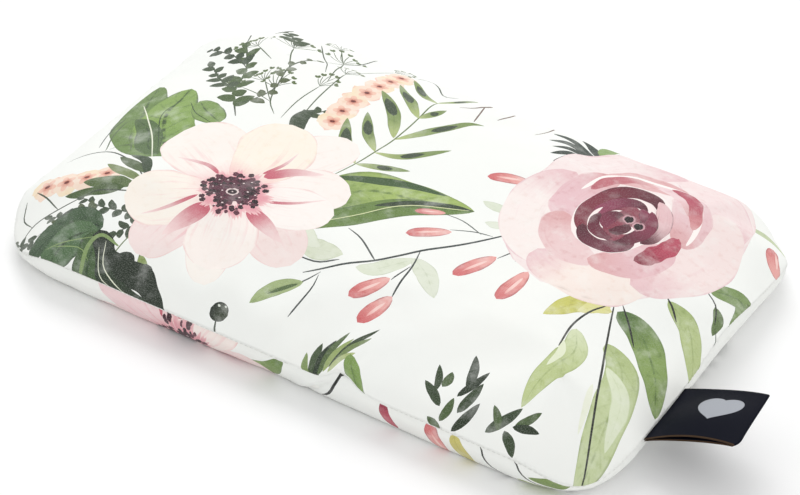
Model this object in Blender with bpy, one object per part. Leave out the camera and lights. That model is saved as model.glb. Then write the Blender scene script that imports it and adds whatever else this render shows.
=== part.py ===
"""Small flat nursing pillow: a printed cover of two panels, closed along its front edge
by a hidden coil zip, over a fibre-filled inner cushion, with a folded ribbon label sewn
into its right-hand seam.

Frame: origin at the centre of the underside, +X towards the labelled end, +Y to the
back, +Z up, metres.  Cross-sections are lists of (inset from the outline, height).
"""

import math
from functools import lru_cache

import bmesh
import bpy
from mathutils import Vector

# ---- driving dimensions -------------------------------------------------------------

PILLOW_LENGTH = 0.380            # along X, seam to seam
PILLOW_WIDTH = 0.270             # along Y, seam to seam
PILLOW_HEIGHT = 0.050            # top of the crown above the table
CORNER_RADIUS = 0.050
SEAM_HEIGHT = 0.019              # edge seam above the table along the sides
SEAM_HEIGHT_AT_CORNER = 0.0075   # the corners are thinner, so their seam lies lower
CROWN_RISE = 0.0015              # how far the middle stands above the shoulders
SHOULDER_WIDTH = 0.064           # inset at which the top stops rising steeply
SHOULDER_POWER = 1.32
UNDERSIDE_WIDTH = 0.012          # inset at which the underside meets the table
UNDERSIDE_POWER = 1.5

CLEARANCE = 0.0003               # gap between pieces that touch
COVER_FABRIC = 0.0008
CASE_FABRIC = 0.0006
SEAM_ALLOWANCE = 0.009           # cloth turned in along the cover's seam
ZIP_FOLD = 0.002                 # the same cloth where the zip is sewn in
CASE_ALLOWANCE = 0.005           # cloth turned in along the inner cushion's seam
OVERLOCK_DEPTH = 0.0006          # thread wrapped round the raw edges
THREAD = 0.0004

ZIP_CLOSED_END = 0.037           # X of the bar tack beside the parked slider
ZIP_FROM_CORNER = 0.007          # open end of the zip to the left-hand corner
ZIP_END_TAPER = 0.006            # length over which the turned-in cloth widens again
ZIP_INSET = 0.008                # plane of the teeth, behind the cover's edge
TAPE_THICKNESS = 0.0005
UPPER_TAPE_REACH = 0.014         # inset at which the upper tape's sewn edge ends
LOWER_TAPE_REACH = 0.006
COIL_THICKNESS = 0.0018
SPINE_INNER = 0.0012             # heights between which a coil's teeth are joined
SPINE_OUTER = 0.0021
TOOTH_PITCH = 0.004
TOOTH_WIDTH = 0.0014
SLIDER_LENGTH = 0.008
SLIDER_PLATE = 0.001
SLIDER_FLANGE = 0.00075
SLIDER_NOSE = 0.002              # length of the post between the slider's plates
SLIDER_CATCH = 0.0007            # height of the auto-lock's cover
RUNNING_GAP = 0.00045            # slider to coils and tapes
STOP_LENGTH = 0.0016
BAR_TACK_LENGTH = 0.002
BAR_TACK_DEPTH = 0.0022

CASE_INSET = 0.0115              # inner cushion's seam behind the cover's seam
CASE_SLACK = 0.0005              # cover to inner cushion over the faces
FILLING_GAP = 0.0006             # inner cushion's cloth to its filling
CASE_EDGE_GAP = 0.0035           # the same beside the zip
CASE_EDGE_BLEND = 0.024          # inset over which one passes into the other
CASE_SIDE_WIDTH = 0.007          # inset taken by the cushion's rounded lower side

LABEL_WIDTH = 0.050              # along Y
LABEL_LENGTH = 0.054             # seam to fold
LABEL_FROM_CORNER = 0.0015       # label to the front right corner
LABEL_RIBBON = 0.0004            # one layer
LABEL_SLOPE = math.radians(25)   # how steeply it stands out of the seam
LABEL_OPENING = 0.0032           # widest gap between its two layers
LABEL_FOLD_GAP = 0.0012          # gap between the layers where they turn over
LABEL_HINGE_OUT = 0.0006         # seam's edge to the hinge line
LABEL_ROOT = 0.0001              # hinge line to the ribbon

LONG_STEPS = 10                  # outline points along the long sides
SHORT_STEPS = 6
CORNER_STEPS = 6
TOP_SHARES = (0, 0.02, 0.055, 0.11, 0.19, 0.30, 0.44, 0.62, 0.81, 1)
UNDERSIDE_SHARES = (0, 0.05, 0.22, 0.42, 0.65, 0.85, 1)
MIDDLE_SHARE = 0.85              # inset of the innermost ring, of the half width

# ---- places that follow from them ------------------------------------------------------

HALF_LENGTH = PILLOW_LENGTH / 2
HALF_WIDTH = PILLOW_WIDTH / 2
STRAIGHT_X = HALF_LENGTH - CORNER_RADIUS
STRAIGHT_Y = HALF_WIDTH - CORNER_RADIUS
SHOULDER_HEIGHT = PILLOW_HEIGHT - CROWN_RISE
MIDDLE_INSET = MIDDLE_SHARE * HALF_WIDTH
SEAM_GAP = CLEARANCE / 2         # each panel stops this far from the seam's plane
ZIP_OPEN_END = ZIP_FROM_CORNER - STRAIGHT_X
SLIDER_START = ZIP_CLOSED_END - BAR_TACK_LENGTH - STOP_LENGTH - SLIDER_LENGTH - 3 * CLEARANCE
SLIDER_HALF_DEPTH = COIL_THICKNESS / 2 + RUNNING_GAP
SLIDER_HALF_HEIGHT = SPINE_OUTER + RUNNING_GAP + SLIDER_FLANGE
LABEL_MIDDLE = LABEL_FROM_CORNER + LABEL_WIDTH / 2 - STRAIGHT_Y

# ---- materials ----------------------------------------------------------------------

PRINTED_COTTON = ((0.94, 0.94, 0.92, 1), 0.85, 0)
CASE_COTTON = ((0.90, 0.89, 0.86, 1), 0.9, 0)
FIBRE = ((0.95, 0.95, 0.95, 1), 1.0, 0)
TAPE_WEAVE = ((0.93, 0.93, 0.92, 1), 0.8, 0)
COIL_NYLON = ((0.92, 0.92, 0.91, 1), 0.4, 0)
ZIP_METAL = ((0.72, 0.72, 0.70, 1), 0.35, 1)
SEWING_THREAD = ((0.93, 0.92, 0.90, 1), 0.7, 0)
NAVY_RIBBON = ((0.012, 0.018, 0.055, 1), 0.6, 0)


def material(name, finish):
    colour, roughness, metallic = finish
    made = bpy.data.materials.new(name)
    made.use_nodes = True
    shader = made.node_tree.nodes["Principled BSDF"]
    shader.inputs["Base Color"].default_value = colour
    shader.inputs["Roughness"].default_value = roughness
    shader.inputs["Metallic"].default_value = metallic
    return made


def add_piece(name, vertices, faces, finish):
    """A closed mesh as one named object, its faces turned outwards."""
    mesh = bpy.data.meshes.new(name)
    mesh.from_pydata(vertices, [], faces)
    shaped = bmesh.new()
    shaped.from_mesh(mesh)
    bmesh.ops.recalc_face_normals(shaped, faces=shaped.faces)
    shaped.to_mesh(mesh)
    shaped.free()
    mesh.materials.append(material(name, finish))
    piece = bpy.data.objects.new(name, mesh)
    bpy.context.collection.objects.link(piece)
    return piece


# ---- the outline, ring by ring ----------------------------------------------------------

def side_stations(side):
    """Shares of one straight side; the front's include both ends of the zip."""
    if side != 0:
        steps = SHORT_STEPS if side % 2 else LONG_STEPS
        return [step / steps for step in range(steps + 1)]
    places = [
        -STRAIGHT_X,
        ZIP_OPEN_END - ZIP_END_TAPER,
        ZIP_OPEN_END,
        ZIP_CLOSED_END,
        ZIP_CLOSED_END + ZIP_END_TAPER,
        STRAIGHT_X,
    ]
    along_zip = 3
    beyond_zip = LONG_STEPS + 1 - len(places) - along_zip
    for step in range(1, along_zip + 1):
        share = step / (along_zip + 1)
        places.append(ZIP_OPEN_END + share * (ZIP_CLOSED_END - ZIP_OPEN_END))
    for step in range(1, beyond_zip + 1):
        share = step / (beyond_zip + 1)
        start = ZIP_CLOSED_END + ZIP_END_TAPER
        places.append(start + share * (STRAIGHT_X - start))
    return sorted((place / STRAIGHT_X + 1) / 2 for place in places)


@lru_cache(maxsize=None)
def outline(inset):
    """Points round the pillow, anticlockwise from the left end of its front side."""
    radius = max(CORNER_RADIUS - inset, 0.25 * (HALF_WIDTH - inset))
    reach = Vector((HALF_LENGTH - inset - radius, HALF_WIDTH - inset - radius))
    corners = [Vector((x * reach.x, y * reach.y)) for x, y in ((-1, -1), (1, -1), (1, 1), (-1, 1))]
    points = []
    for side in range(4):
        facing = (side - 1) * math.pi / 2
        outward = Vector((math.cos(facing), math.sin(facing))) * radius
        start, end = corners[side], corners[(side + 1) % 4]
        points += [start.lerp(end, share) + outward for share in side_stations(side)]
        for step in range(1, CORNER_STEPS):
            turn = facing + step * math.pi / 2 / CORNER_STEPS
            points.append(end + Vector((math.cos(turn), math.sin(turn))) * radius)
    return points


def round_the_outline():
    """The seam's height and the width of the turned-in cloth at each outline point."""
    seams, folds = [], []
    for side in range(4):
        for share in side_stations(side):
            place = (2 * share - 1) * STRAIGHT_X
            beyond = max(ZIP_OPEN_END - place, place - ZIP_CLOSED_END, 0) if side == 0 else ZIP_END_TAPER
            widened = min(beyond / ZIP_END_TAPER, 1)
            seams.append(SEAM_HEIGHT)
            folds.append(ZIP_FOLD + widened * (SEAM_ALLOWANCE - ZIP_FOLD))
        for step in range(1, CORNER_STEPS):
            droop = math.sin(step * math.pi / CORNER_STEPS) ** 2
            seams.append(SEAM_HEIGHT + droop * (SEAM_HEIGHT_AT_CORNER - SEAM_HEIGHT))
            folds.append(SEAM_ALLOWANCE)
    return seams, folds


SEAMS, FOLDS = round_the_outline()


# ---- the cover's two curved faces, in cross-section ---------------------------------------

def bulge(share, power):
    """Quarter of a superellipse, rising from 0 to 1."""
    return (1 - (1 - min(share, 1)) ** power) ** (1 / power)


def top_height(inset, seam):
    crown = max(inset - SHOULDER_WIDTH, 0) / (HALF_WIDTH - SHOULDER_WIDTH)
    rise = (SHOULDER_HEIGHT - seam - SEAM_GAP) * bulge(inset / SHOULDER_WIDTH, SHOULDER_POWER)
    return seam + SEAM_GAP + rise + CROWN_RISE * (1 - (1 - crown) ** 2)


def underside_height(inset, seam):
    return (seam - SEAM_GAP) * (1 - bulge(inset / UNDERSIDE_WIDTH, UNDERSIDE_POWER))


def top_curve(seam):
    halfway = (SHOULDER_WIDTH + MIDDLE_INSET) / 2
    insets = [share * SHOULDER_WIDTH for share in TOP_SHARES] + [halfway, MIDDLE_INSET]
    return [(inset, top_height(inset, seam)) for inset in insets]


def underside_curve(seam):
    insets = [share * UNDERSIDE_WIDTH for share in UNDERSIDE_SHARES] + [SHOULDER_WIDTH, MIDDLE_INSET]
    return [(inset, underside_height(inset, seam)) for inset in insets]


def offset(curve, depths):
    """Points the given depths inside a curve that runs from the edge to the middle."""
    moved = []
    for index, (inset, height) in enumerate(curve):
        before = curve[max(index - 1, 0)]
        after = curve[min(index + 1, len(curve) - 1)]
        along = Vector((after[0] - before[0], after[1] - before[1])).normalized()
        inward = Vector((along.y, -along.x))
        if inward.x < 0 or curve[0][1] > curve[-1][1]:
            inward = -inward
        depth = depths[index]
        moved.append((inset + inward.x * depth, height + inward.y * depth))
    return moved


def lifted(curve, depth):
    return offset(curve, [depth] * len(curve))


# ---- closed shells swept round the outline -------------------------------------------------

def add_shell(name, section_at, outer_middle, inner_middle, finish):
    """Sweeps a section round the outline and closes it over the middle.

    section_at(index) runs from the innermost outer point, over the edge, to the
    innermost inner point.
    """
    sections = [section_at(index) for index in range(len(SEAMS))]
    count, rings = len(sections), len(sections[0])
    vertices = []
    for ring in range(rings):
        for index in range(count):
            inset, height = sections[index][ring]
            place = outline(round(inset, 7))[index]
            vertices.append((place.x, place.y, height))
    faces = []
    for ring in range(rings - 1):
        for index in range(count):
            beside = (index + 1) % count
            low, high = ring * count, (ring + 1) * count
            faces.append((low + index, low + beside, high + beside, high + index))
    for ring, middle in ((0, outer_middle), (rings - 1, inner_middle)):
        vertices.append((0, 0, middle))
        for index in range(count):
            beside = (index + 1) % count
            faces.append((ring * count + index, ring * count + beside, len(vertices) - 1))
    return add_piece(name, vertices, faces, finish)


def add_edge_band(name, insets, half_height, indices, closed, finish):
    """A rectangular band along part or all of the outline, centred on the seam."""
    corners = ((0, -1), (1, -1), (1, 1), (0, 1))
    vertices = []
    for index in indices:
        for inset_choice, up in corners:
            place = outline(round(insets[inset_choice], 7))[index]
            vertices.append((place.x, place.y, SEAMS[index] + up * half_height))
    faces = []
    stations = len(indices)
    for station in range(stations if closed else stations - 1):
        near, far = 4 * station, 4 * ((station + 1) % stations)
        for corner in range(4):
            beside = (corner + 1) % 4
            faces.append((near + corner, near + beside, far + beside, far + corner))
    if not closed:
        faces.append((0, 1, 2, 3))
        last = 4 * (stations - 1)
        faces.append((last, last + 1, last + 2, last + 3))
    return add_piece(name, vertices, faces, finish)


def panel_section(curve, thickness, fold, first_inner, upward):
    """Outer face, round the edge, along the turned-in cloth, then the inner face."""
    edge_height = curve[0][1]
    folded = edge_height + upward * thickness
    inner = lifted(curve, thickness)[first_inner:]
    start = (curve[0][0] + 1.1 * thickness, folded)
    tip = curve[0][0] + fold
    return curve[::-1] + [(tip, edge_height), (tip, folded), start] + inner


def add_cover():
    def top_section(index):
        return panel_section(top_curve(SEAMS[index]), COVER_FABRIC, FOLDS[index], 1, 1)

    def underside_section(index):
        return panel_section(underside_curve(SEAMS[index]), COVER_FABRIC, FOLDS[index], 2, -1)

    add_shell("cover_top_panel", top_section, PILLOW_HEIGHT, PILLOW_HEIGHT - COVER_FABRIC, PRINTED_COTTON)
    add_shell("cover_bottom_panel", underside_section, 0, COVER_FABRIC, PRINTED_COTTON)
    start = SEAM_ALLOWANCE + CLEARANCE
    full = [index for index, fold in enumerate(FOLDS) if fold == SEAM_ALLOWANCE]
    first = next(n for n, index in enumerate(full) if index > 0 and index - full[n - 1] > 1)
    add_edge_band(
        "cover_overlock_thread",
        (start, start + OVERLOCK_DEPTH),
        SEAM_GAP + COVER_FABRIC,
        full[first:] + full[:first],
        False,
        SEWING_THREAD,
    )


# ---- inner cushion -------------------------------------------------------------------------

def case_top_curve(seam):
    outer = top_curve(seam)
    depths = []
    for inset, _ in outer:
        edge = min(max(1 - (inset - CASE_INSET) / CASE_EDGE_BLEND, 0), 1)
        depths.append(COVER_FABRIC + CASE_SLACK + edge * (CASE_EDGE_GAP - CASE_SLACK))
    follows = [point for point, source in zip(offset(outer, depths), outer) if source[0] > CASE_INSET]
    return [(CASE_INSET, seam + SEAM_GAP)] + follows


def case_underside_curve(seam):
    floor = COVER_FABRIC + CASE_SLACK
    edge = seam - SEAM_GAP
    curve = []
    for step in range(5):
        turn = step * math.pi / 8
        inset = CASE_INSET + CASE_SIDE_WIDTH * (1 - math.cos(turn))
        curve.append((inset, edge - (edge - floor) * math.sin(turn)))
    return curve + [(SHOULDER_WIDTH, floor), (MIDDLE_INSET, floor)]


def add_inner_cushion():
    def top_section(index):
        return panel_section(case_top_curve(SEAMS[index]), CASE_FABRIC, CASE_ALLOWANCE, 1, 1)

    def underside_section(index):
        return panel_section(case_underside_curve(SEAMS[index]), CASE_FABRIC, CASE_ALLOWANCE, 1, -1)

    def filling_section(index):
        seam = SEAMS[index]
        depth = CASE_FABRIC + FILLING_GAP
        notch = CASE_INSET + CASE_ALLOWANCE + OVERLOCK_DEPTH + 3 * CLEARANCE
        clear = SEAM_GAP + CASE_FABRIC + CLEARANCE
        above = lifted(case_top_curve(seam), depth)[1:]
        below = lifted(case_underside_curve(seam), depth)[2:]
        return above[::-1] + [(notch, seam + clear), (notch, seam - clear)] + below

    case_top = PILLOW_HEIGHT - COVER_FABRIC - CASE_SLACK
    case_floor = COVER_FABRIC + CASE_SLACK
    filling_gap = CASE_FABRIC + FILLING_GAP
    add_shell("inner_case_top", top_section, case_top, case_top - CASE_FABRIC, CASE_COTTON)
    add_shell("inner_case_bottom", underside_section, case_floor, case_floor + CASE_FABRIC, CASE_COTTON)
    add_shell("fibre_filling", filling_section, case_top - filling_gap, case_floor + filling_gap, FIBRE)
    start = CASE_INSET + CASE_ALLOWANCE + CLEARANCE
    add_edge_band(
        "inner_case_overlock_thread",
        (start, start + OVERLOCK_DEPTH),
        SEAM_GAP + CASE_FABRIC,
        range(len(SEAMS)),
        True,
        SEWING_THREAD,
    )


# ---- hidden zip along the front seam ---------------------------------------------------------

def behind_face(height_at, inset, depth):
    """The point a depth inside one of the cover's faces, over the front seam."""
    step = 0.0001
    rise = height_at(inset + step, SEAM_HEIGHT) - height_at(inset - step, SEAM_HEIGHT)
    inward = Vector((abs(rise), 2 * step)).normalized()
    down = -1 if rise > 0 else 1
    return Vector((inset + inward.x * depth, height_at(inset, SEAM_HEIGHT) + down * inward.y * depth))


def add_bar(name, profile, start, end, finish):
    """A profile of (inset, height) points drawn out along the front edge."""
    count = len(profile)
    vertices = [(x, inset - HALF_WIDTH, height) for x in (start, end) for inset, height in profile]
    faces = [tuple(range(count)), tuple(range(count, 2 * count))]
    for index in range(count):
        beside = (index + 1) % count
        faces.append((index, beside, count + beside, count + index))
    return add_piece(name, vertices, faces, finish)


def band(points, thickness):
    """Outline of a strip of even thickness along a bent line."""
    points = [Vector(point) for point in points]
    left, right = [], []
    for index, point in enumerate(points):
        before = (point - points[index - 1]).normalized() if index else None
        after = (points[index + 1] - point).normalized() if index < len(points) - 1 else None
        first, second = before or after, after or before
        across = Vector((-first.y - second.y, first.x + second.x)).normalized()
        reach = thickness / 2 / across.dot(Vector((-first.y, first.x)))
        left.append(tuple(point + across * reach))
        right.append(tuple(point - across * reach))
    return left + right[::-1]


def add_cells(name, xs, insets, heights, filled, finish):
    """A solid built of boxes between the given planes; filled is a set of (x, inset, height)."""
    vertices, faces, known = [], [], {}
    planes = (xs, insets, heights)
    for cell in filled:
        for axis in range(3):
            for side in (0, 1):
                beyond = list(cell)
                beyond[axis] += 2 * side - 1
                if tuple(beyond) in filled:
                    continue
                others = [other for other in range(3) if other != axis]
                quad = []
                for first, second in ((0, 0), (1, 0), (1, 1), (0, 1)):
                    corner = list(cell)
                    corner[axis] += side
                    corner[others[0]] += first
                    corner[others[1]] += second
                    corner = tuple(corner)
                    if corner not in known:
                        known[corner] = len(vertices)
                        x, inset, height = (planes[n][corner[n]] for n in range(3))
                        vertices.append((x, inset - HALF_WIDTH, SEAM_HEIGHT + height))
                    quad.append(known[corner])
                faces.append(quad)
    return add_piece(name, vertices, faces, finish)


def add_coil(name, upward, start, end):
    """One side of the coil: a spine beside its tape, with teeth that reach past the middle."""
    teeth = int((end - start) / TOOTH_PITCH)
    phase = 0.25 if upward > 0 else 0.75
    xs = [start]
    for tooth in range(teeth):
        centre = start + (tooth + phase) * TOOTH_PITCH
        xs += [centre - TOOTH_WIDTH / 2, centre + TOOTH_WIDTH / 2]
    xs.append(end)
    insets = (ZIP_INSET - COIL_THICKNESS / 2, ZIP_INSET + COIL_THICKNESS / 2)
    heights = sorted(upward * height for height in (CLEARANCE - SPINE_INNER, SPINE_INNER, SPINE_OUTER))
    spine, tooth_row = (1, 0) if upward > 0 else (0, 1)
    filled = {(x, 0, spine) for x in range(len(xs) - 1)}
    filled |= {(x, 0, tooth_row) for x in range(1, len(xs) - 1, 2)}
    add_cells(name, xs, insets, heights, filled, COIL_NYLON)


def add_slider():
    """Two flanged plates joined by a post, with a low auto-lock cover and no pull."""
    half, plate = SLIDER_HALF_DEPTH, SLIDER_PLATE
    slot = TAPE_THICKNESS / 2 + RUNNING_GAP
    tall, inner = SLIDER_HALF_HEIGHT, SLIDER_HALF_HEIGHT - SLIDER_FLANGE
    narrow = SPINE_INNER - CLEARANCE
    end = SLIDER_START + SLIDER_LENGTH
    xs = [SLIDER_START, SLIDER_START + SLIDER_NOSE, end - SLIDER_NOSE, end]
    insets = [ZIP_INSET + place for place in (-half - plate - SLIDER_CATCH, -half - plate, -half,
                                              -slot, slot, half, half + plate)]
    heights = [-tall, -inner, -narrow, narrow, inner, tall]
    filled = set()
    for x in range(3):
        for row in range(5):
            filled |= {(x, 1, row), (x, 5, row)}
        for row in (0, 4):
            filled |= {(x, 2, row), (x, 4, row)}
    filled |= {(1, 0, 2)}
    filled |= {(2, column, 2) for column in (2, 3, 4)}
    slider = add_cells("zip_slider", xs, insets, heights, filled, ZIP_METAL)
    bevel = slider.modifiers.new("rounded edges", "BEVEL")
    bevel.width = 0.0002
    bevel.segments = 1


def chamfered_box(half_depth, low, high, chamfer):
    left, right = ZIP_INSET - half_depth, ZIP_INSET + half_depth
    return [
        (left + chamfer, SEAM_HEIGHT + low), (right - chamfer, SEAM_HEIGHT + low),
        (right, SEAM_HEIGHT + low + chamfer), (right, SEAM_HEIGHT + high - chamfer),
        (right - chamfer, SEAM_HEIGHT + high), (left + chamfer, SEAM_HEIGHT + high),
        (left, SEAM_HEIGHT + high - chamfer), (left, SEAM_HEIGHT + low + chamfer),
    ]


def add_zip():
    start = ZIP_OPEN_END + BAR_TACK_LENGTH + CLEARANCE
    end = ZIP_CLOSED_END - BAR_TACK_LENGTH - CLEARANCE
    slider_end = SLIDER_START + SLIDER_LENGTH
    tape_edge = SPINE_OUTER + CLEARANCE
    past_slider = SLIDER_HALF_HEIGHT + 2 * RUNNING_GAP
    tape_depth = COVER_FABRIC + CLEARANCE + TAPE_THICKNESS / 2
    thread_depth = tape_depth + TAPE_THICKNESS / 2 + CLEARANCE + THREAD / 2
    sides = (
        ("upper", 1, top_height, 0.010, UPPER_TAPE_REACH),
        ("lower", -1, underside_height, 0.0035, LOWER_TAPE_REACH),
    )
    for side, upward, height_at, near, far in sides:
        line = [
            (ZIP_INSET, SEAM_HEIGHT + upward * tape_edge),
            (ZIP_INSET, SEAM_HEIGHT + upward * past_slider),
            behind_face(height_at, near, tape_depth),
            behind_face(height_at, far, tape_depth),
        ]
        add_bar("zip_tape_" + side, band(line, TAPE_THICKNESS), start, end, TAPE_WEAVE)
        middle = (near + far) / 2
        row = [behind_face(height_at, middle + shift * THREAD, thread_depth) for shift in (-1, 1)]
        add_bar("zip_stitching_" + side, band(row, THREAD), start, end, SEWING_THREAD)
        add_coil("zip_coil_" + side, upward, start + STOP_LENGTH + CLEARANCE, SLIDER_START - CLEARANCE)
        low, high = sorted((upward * 0.0005, upward * SPINE_OUTER))
        stop = chamfered_box(COIL_THICKNESS / 2, low, high, 0.0002)
        add_bar("zip_top_stop_" + side, stop, slider_end + CLEARANCE, slider_end + CLEARANCE + STOP_LENGTH,
                ZIP_METAL)
    bottom_stop = chamfered_box(COIL_THICKNESS / 2, -SPINE_OUTER, SPINE_OUTER, 0.0003)
    add_bar("zip_bottom_stop", bottom_stop, start, start + STOP_LENGTH, ZIP_METAL)
    add_slider()
    front = ZIP_FOLD + CLEARANCE
    height = SEAM_GAP + COVER_FABRIC
    for end_name, place in (("left", ZIP_OPEN_END), ("right", ZIP_CLOSED_END - BAR_TACK_LENGTH)):
        tack = [(front, SEAM_HEIGHT - height), (front + BAR_TACK_DEPTH, SEAM_HEIGHT - height),
                (front + BAR_TACK_DEPTH, SEAM_HEIGHT + height), (front, SEAM_HEIGHT + height)]
        add_bar("bar_tack_" + end_name, tack, place, place + BAR_TACK_LENGTH, SEWING_THREAD)


# ---- folded ribbon label --------------------------------------------------------------------

def label_profile():
    """The ribbon's loop as (distance from the hinge line, height), lying flat."""
    steps = 12
    closed = CLEARANCE / 2 + LABEL_RIBBON / 2
    fold_radius = LABEL_FOLD_GAP / 2 + LABEL_RIBBON / 2
    straight_end = LABEL_LENGTH - fold_radius - LABEL_RIBBON / 2
    lower = []
    for step in range(steps + 1):
        share = step / steps
        opening = LABEL_OPENING / 2 * math.sin(math.pi * share) ** 2
        rest = closed + share * (fold_radius - closed)
        lower.append((LABEL_ROOT + share * (straight_end - LABEL_ROOT), -rest - opening))
    fold = []
    for step in range(1, 4):
        turn = -math.pi / 2 + step * math.pi / 4
        fold.append((straight_end + fold_radius * math.cos(turn), fold_radius * math.sin(turn)))
    upper = [(distance, -height) for distance, height in reversed(lower)]
    return band(lower + fold + upper, LABEL_RIBBON)


def add_label():
    """Stands in the right-hand seam; its origin is on the hinge line."""
    profile = label_profile()
    count = len(profile)
    vertices = []
    for y in (-LABEL_WIDTH / 2, LABEL_WIDTH / 2):
        vertices += [(distance, y, height) for distance, height in profile]
    layer = count // 2
    faces = []
    for index in range(count):
        beside = (index + 1) % count
        faces.append((index, beside, count + beside, count + index))
    for side in (0, count):
        for index in range(layer - 1):
            mirror = count - 1 - index
            faces.append((side + index, side + index + 1, side + mirror - 1, side + mirror))
    label = add_piece("woven_label", vertices, faces, NAVY_RIBBON)
    label.location = (HALF_LENGTH + LABEL_HINGE_OUT, LABEL_MIDDLE, SEAM_HEIGHT)
    label.rotation_euler = (0, -LABEL_SLOPE, 0)


for existing in list(bpy.data.objects):
    bpy.data.objects.remove(existing)
add_cover()
add_inner_cushion()
add_zip()
add_label()
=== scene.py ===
import math

import bpy
import numpy as np
from mathutils import Matrix, Vector
from mathutils.geometry import delaunay_2d_cdt


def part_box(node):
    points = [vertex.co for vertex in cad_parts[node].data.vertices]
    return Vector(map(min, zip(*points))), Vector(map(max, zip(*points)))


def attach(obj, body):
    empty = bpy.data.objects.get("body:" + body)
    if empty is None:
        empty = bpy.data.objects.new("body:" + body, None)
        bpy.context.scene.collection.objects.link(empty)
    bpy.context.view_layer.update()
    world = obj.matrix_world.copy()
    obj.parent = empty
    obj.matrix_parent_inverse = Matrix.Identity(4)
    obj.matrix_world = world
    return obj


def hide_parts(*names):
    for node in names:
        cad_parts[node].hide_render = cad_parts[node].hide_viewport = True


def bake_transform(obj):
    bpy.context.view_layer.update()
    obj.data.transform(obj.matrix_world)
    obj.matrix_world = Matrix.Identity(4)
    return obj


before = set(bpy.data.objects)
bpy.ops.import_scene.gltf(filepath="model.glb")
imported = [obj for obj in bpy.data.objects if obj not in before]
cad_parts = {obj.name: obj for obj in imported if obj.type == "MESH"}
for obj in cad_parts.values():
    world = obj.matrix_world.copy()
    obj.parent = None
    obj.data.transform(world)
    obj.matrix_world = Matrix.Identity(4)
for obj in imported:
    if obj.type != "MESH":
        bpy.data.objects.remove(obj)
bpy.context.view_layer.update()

# ---- Studio -------------------------------------------------------------------------------
# A pale sweep of floor under a large soft light from the left and a weaker one from the
# front.  A long lens looks down over the front edge, turned a little about its own axis.

CAMERA_TURN = math.radians(27.196)
CAMERA_LIFT = math.radians(37.085)
CAMERA_ROLL = math.radians(5.0)
CAMERA_DISTANCE = 1.7664
CAMERA_AIM = Vector((0.00567, -0.01417, 0.020))
CAMERA_LENS = 145.84
CAMERA_SENSOR = 36
FLOOR_REACH = 6.0
FLOOR_SHADE = 0.93
FLOOR_ROUGHNESS = 0.9
SKY_STRENGTH = 0.81


def add_object(name, data):
    made = bpy.data.objects.new(name, data)
    bpy.context.collection.objects.link(made)
    return made


def start_material(name):
    """A new material, its node tree and its shader."""
    made = bpy.data.materials.new(name)
    made.use_nodes = True
    return made, made.node_tree, made.node_tree.nodes["Principled BSDF"]


back = Vector((
    math.sin(CAMERA_TURN) * math.cos(CAMERA_LIFT),
    -math.cos(CAMERA_TURN) * math.cos(CAMERA_LIFT),
    math.sin(CAMERA_LIFT),
))
level = Vector((math.cos(CAMERA_TURN), math.sin(CAMERA_TURN), 0))
upright = back.cross(level)
right = level * math.cos(CAMERA_ROLL) + upright * math.sin(CAMERA_ROLL)
above = upright * math.cos(CAMERA_ROLL) - level * math.sin(CAMERA_ROLL)
camera_data = bpy.data.cameras.new("studio_camera")
camera_data.lens = CAMERA_LENS
camera_data.sensor_width = CAMERA_SENSOR
camera = add_object("studio_camera", camera_data)
camera.matrix_world = Matrix((
    (right.x, above.x, back.x, CAMERA_AIM.x + back.x * CAMERA_DISTANCE),
    (right.y, above.y, back.y, CAMERA_AIM.y + back.y * CAMERA_DISTANCE),
    (right.z, above.z, back.z, CAMERA_AIM.z + back.z * CAMERA_DISTANCE),
    (0, 0, 0, 1),
))
bpy.context.scene.camera = camera

white, _, white_shader = start_material("studio_white")
white_shader.inputs["Base Color"].default_value = (FLOOR_SHADE, FLOOR_SHADE, FLOOR_SHADE, 1)
white_shader.inputs["Roughness"].default_value = FLOOR_ROUGHNESS
floor_mesh = bpy.data.meshes.new("studio_floor")
floor_mesh.from_pydata(
    [(-FLOOR_REACH, -FLOOR_REACH, 0), (FLOOR_REACH, -FLOOR_REACH, 0),
     (FLOOR_REACH, FLOOR_REACH, 0), (-FLOOR_REACH, FLOOR_REACH, 0)],
    [], [(0, 1, 2, 3)],
)
floor_mesh.materials.append(white)
floor = add_object("studio_floor", floor_mesh)


def add_softbox(name, place, size, watts):
    light = bpy.data.lights.new(name, "AREA")
    light.shape = "DISK"
    light.size = size
    light.energy = watts
    lamp = add_object(name, light)
    lamp.location = place
    lamp.rotation_euler = (Vector(place) - CAMERA_AIM).to_track_quat("Z", "Y").to_euler()


add_softbox("key_softbox", (-0.9, 1.3, 1.9), size=1.9, watts=24)
add_softbox("front_softbox", (1.6, -1.3, 1.5), size=1.8, watts=7)
world = bpy.data.worlds.new("studio_world")
world.use_nodes = True
world.node_tree.nodes["Background"].inputs["Color"].default_value = (1, 1, 1, 1)
world.node_tree.nodes["Background"].inputs["Strength"].default_value = SKY_STRENGTH
bpy.context.scene.world = world
bpy.context.scene.view_settings.view_transform = "Standard"

# ---- Stuffed cover: its shape --------------------------------------------------------------
# Two panels of cotton are cut alike, sewn right round and turned, and the filling crowns
# them.  A panel's flat cut is drawn in metres around its middle, and each point of it goes
# to its place on the stuffed pillow; the cut is larger than the pillow by what curves down.

cover_low, cover_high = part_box("cover_top_panel")
HALF_LENGTH = (cover_high[0] - cover_low[0]) / 2
HALF_WIDTH = (cover_high[1] - cover_low[1]) / 2
PILLOW_TOP = cover_high[2]
SEAM_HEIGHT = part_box("cover_bottom_panel")[1][2]
CORNER_RADIUS = 0.050
CORNER_SEAM = 0.0075
SHOULDER_WIDTH = 0.066
SHOULDER_POWER = 1.32
UNDERSIDE_WIDTH = 0.013
UNDERSIDE_POWER = 1.5
END_SEAM_RISE = 0.0095
END_SEAM_MIDDLE = 0.016
END_SEAM_SPREAD = 0.036
PROFILE_STEPS = 240
CROWN_RISE = 0.0015


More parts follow.
